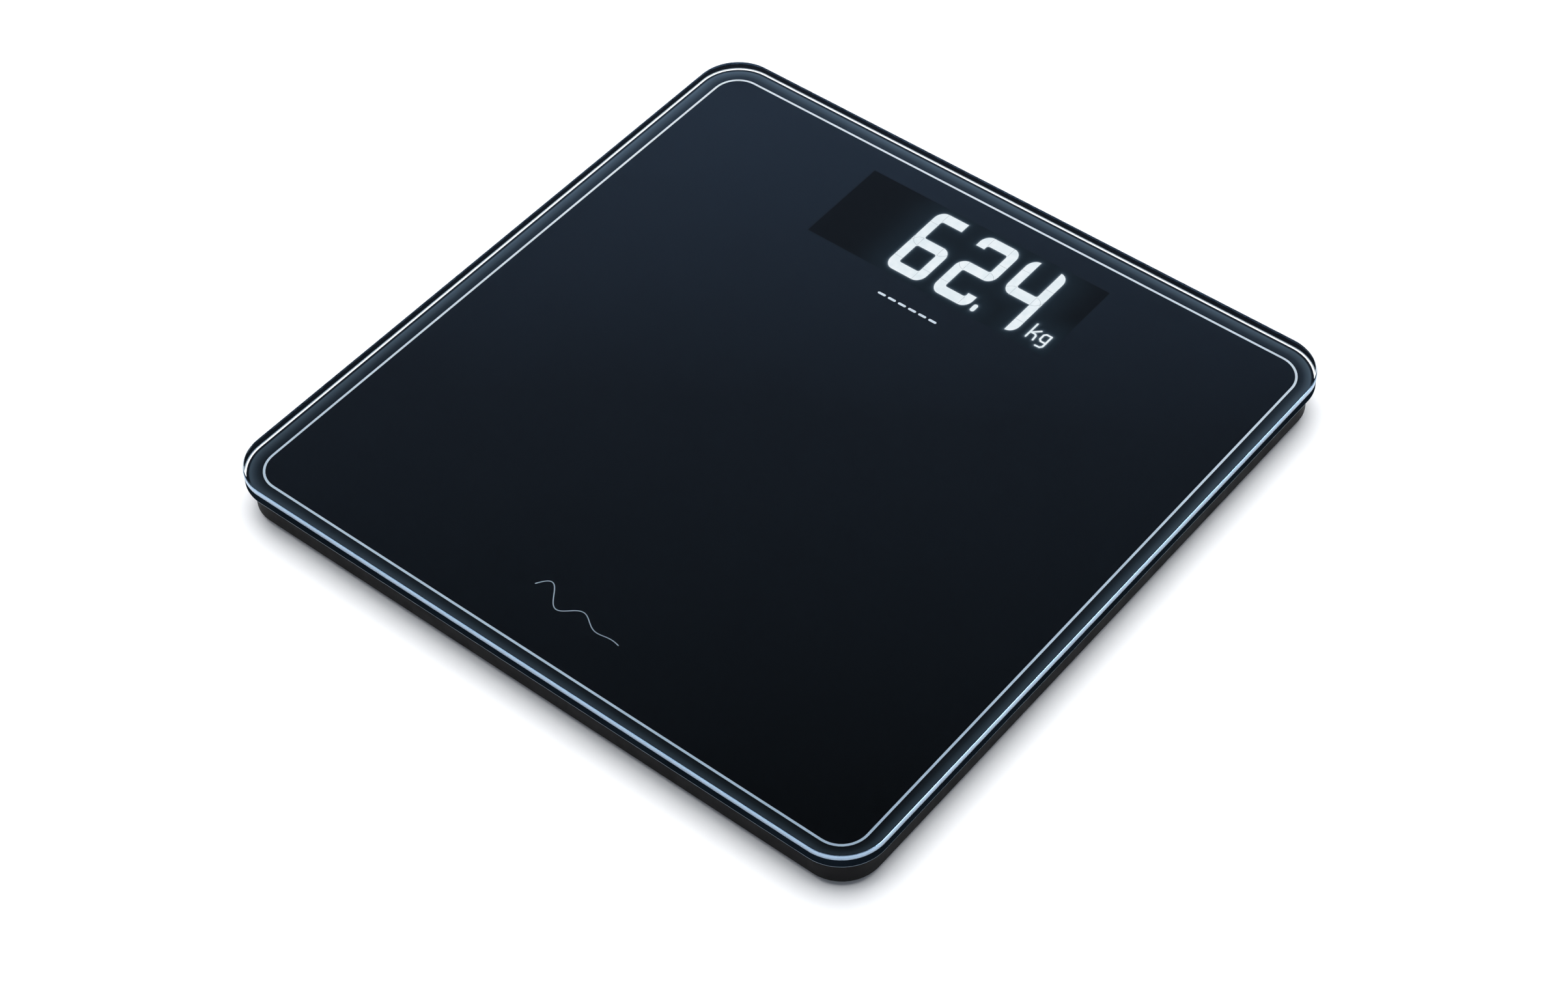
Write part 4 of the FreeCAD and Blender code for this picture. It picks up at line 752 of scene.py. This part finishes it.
def make_marks():
    """Plain ornaments, without letters, where such a scale carries printed marks."""
    dashes = [capsule_level(FIRST_DASH + index * DASH_PITCH, DASH_Y, DASH_LENGTH, DASH_WIDTH)
              for index in range(DASH_COUNT)]
    ink = MATERIALS["silver_ink"]
    flat_piece("mark_dashes", dashes, LINE_HIGH.z + DASH_HEIGHT, ink)
    wave = []
    for step in range(FLOURISH_STEPS + 1):
        along = step / FLOURISH_STEPS
        swing = FLOURISH_SWING * math.sin(math.tau * FLOURISH_TURNS * along) * (1 - along)
        wave.append((FLOURISH_LENGTH * (along - 0.5) * MM, (FLOURISH_Y - FLOURISH_FALL * along + swing) * MM))
    flourish = stroke(wave, FLOURISH_STROKE)
    flat_piece("mark_flourish", flourish, LINE_HIGH.z + FLOURISH_HEIGHT, ink)


def capsule_level(x, y, width, height):
    """A level bar with round ends, centred on x, y."""
    radius = height / 2
    reach = width / 2 - radius
    turns = [math.pi * (step / 8 - 0.5) for step in range(9)]
    right = [(x + reach + radius * math.cos(turn), y + radius * math.sin(turn)) for turn in turns]
    left = [(x - reach - radius * math.cos(turn), y - radius * math.sin(turn)) for turn in turns]
    return right + left


# ---------------------------------------------------------------- underside
RIDGE_COUNT, RIDGE_PITCH = 5, 1.5 * MM
RIDGE_HALF_LENGTH, RIDGE_HALF_WIDTH = 4.5 * MM, 0.35 * MM
RIDGE_FROM_EDGE = 2.0 * MM
RIDGE_TOP, RIDGE_DEPTH, RIDGE_SOFTNESS = 0.2 * MM, 0.55 * MM, 0.15 * MM


def make_door_ridges():
    """Grip ridges on the battery door, beside its latch."""
    shapes = []
    for index in range(RIDGE_COUNT):
        y = DOOR_HIGH.y - RIDGE_FROM_EDGE - index * RIDGE_PITCH
        low_y, high_y = y - RIDGE_HALF_WIDTH, y + RIDGE_HALF_WIDTH
        shapes.append(oblong(-RIDGE_HALF_LENGTH, low_y, RIDGE_HALF_LENGTH, high_y))
    ridges = flat_piece("door_ridges", shapes, DOOR_LOW.z + RIDGE_TOP, MATERIALS["door_plastic"],
                        "battery_door", thickness=RIDGE_DEPTH)
    bevel = ridges.modifiers.new("soft_edges", "BEVEL")
    bevel.width = RIDGE_SOFTNESS
    bevel.segments = 2


# ---------------------------------------------------------------- carried pieces
def dress_frame():
    """Give every carried piece the material of its slot."""
    for node, piece in frame["nodes"].items():
        material = MATERIALS[SLOT_OF[node]]
        piece.data.materials.clear()
        piece.data.materials.append(material)


# ---------------------------------------------------------------- stage, light and camera
FLOOR_HALF = 6.0
FLOOR_COLOUR = (0.93, 0.93, 0.93, 1)


def make_stage():
    """A plain pale floor."""
    bm = bmesh.new()
    bmesh.ops.create_grid(bm, x_segments=1, y_segments=1, size=FLOOR_HALF)
    mesh = mesh_from(bm, "floor")
    floor = bpy.data.objects.new("floor", mesh)
    bpy.context.scene.collection.objects.link(floor)
    shader = Shader("pale_floor")
    shader.set(Base_Color=FLOOR_COLOUR, Roughness=0.9, Specular_IOR_Level=0.1)
    mesh.materials.append(shader.material)


def area_light(name, place, aim, width, height, power, colour=(1, 1, 1)):
    """A rectangular lamp at a place, facing its aim."""
    light = bpy.data.lights.new(name, "AREA")
    light.shape = "RECTANGLE"
    light.size, light.size_y = width, height
    light.energy = power
    light.color = colour
    lamp = bpy.data.objects.new(name, light)
    lamp.location = place
    lamp.rotation_euler = (Vector(aim) - Vector(place)).to_track_quat("-Z", "Y").to_euler()
    bpy.context.scene.collection.objects.link(lamp)
    return lamp


def sky_gradient(world):
    """Studio surroundings: neutral grey low down, bluer above the horizon, dark towards the zenith."""
    tree = world.node_tree
    background = tree.nodes["Background"]
    direction = tree.nodes.new("ShaderNodeTexCoord").outputs["Generated"]
    axes = tree.nodes.new("ShaderNodeSeparateXYZ")
    ramp = tree.nodes.new("ShaderNodeValToRGB")
    stops = [(0.0, (0.5, 0.5, 0.5)), (0.25, (0.48, 0.50, 0.52)), (0.50, (0.30, 0.33, 0.37)),
             (0.64, (0.20, 0.26, 0.38)), (0.76, (0.11, 0.14, 0.19)), (0.84, (0.06, 0.065, 0.075))]
    while len(ramp.color_ramp.elements) < len(stops):
        ramp.color_ramp.elements.new(0.5)
    for element, (position, colour) in zip(ramp.color_ramp.elements, stops):
        element.position = position
        element.color = (*colour, 1.0)
    tree.links.new(direction, axes.inputs["Vector"])
    tree.links.new(axes.outputs["Z"], ramp.inputs["Fac"])
    tree.links.new(ramp.outputs["Color"], background.inputs["Color"])
    background.inputs["Strength"].default_value = 1.0


SOFT_BOX_PLACE, SOFT_BOX_AIM = (-0.15, 0.19, 2.0), (-0.05, 0.06, 0)
SOFT_BOX_SIDE, SOFT_BOX_POWER = 2.4, 80
STRIPS = (("front_strip", (-0.95, -1.85, 0.83), 5), ("right_strip", (1.85, 0.95, 0.83), 30))
STRIP_AIM, STRIP_LENGTH, STRIP_HEIGHT = (0, 0, 0.02), 1.5, 0.5
PALE_BLUE = (0.74, 0.87, 1.0)


def make_lights():
    """A soft box overhead for the light, and two strips seen only as reflections along the edges."""
    world = bpy.data.worlds.new("studio")
    bpy.context.scene.world = world
    world.use_nodes = True
    sky_gradient(world)
    overhead = area_light("overhead", SOFT_BOX_PLACE, SOFT_BOX_AIM, SOFT_BOX_SIDE, SOFT_BOX_SIDE,
                          SOFT_BOX_POWER)
    overhead.visible_glossy = False
    for name, place, power in STRIPS:
        strip = area_light(name, place, STRIP_AIM, STRIP_LENGTH, STRIP_HEIGHT, power, PALE_BLUE)
        strip.visible_diffuse = False
        strip.visible_transmission = False


CAMERA_AZIMUTH, CAMERA_ELEVATION, CAMERA_ROLL = 40.66, 48.43, -2.31
CAMERA_DISTANCE, CAMERA_LENS, CAMERA_SENSOR = 1.3738, 73.1, 36.0
CAMERA_AIM = (29.5 * MM, -36.4 * MM, GLASS_HIGH.z)


def make_camera():
    """The photograph's view: azimuth from -Y towards +X, elevation and roll in degrees."""
    azimuth, elevation = math.radians(CAMERA_AZIMUTH), math.radians(CAMERA_ELEVATION)
    roll = math.radians(CAMERA_ROLL)
    aim = Vector(CAMERA_AIM)
    back = Vector((math.sin(azimuth) * math.cos(elevation), -math.cos(azimuth) * math.cos(elevation),
                   math.sin(elevation)))
    level = Vector((0, 0, 1)).cross(back).normalized()
    upright = back.cross(level)
    right = level * math.cos(roll) + upright * math.sin(roll)
    up = back.cross(right)
    data = bpy.data.cameras.new("camera")
    data.lens, data.sensor_width = CAMERA_LENS, CAMERA_SENSOR
    camera = bpy.data.objects.new("camera", data)
    turn = Matrix((right, up, back)).transposed().to_4x4()
    camera.matrix_world = Matrix.Translation(aim + back * CAMERA_DISTANCE) @ turn
    bpy.context.scene.collection.objects.link(camera)
    bpy.context.scene.camera = camera


dress_frame()
make_glass()
make_display()
make_marks()
make_door_ridges()
make_stage()
make_lights()
make_camera()
bpy.context.scene.view_settings.view_transform = "Standard"
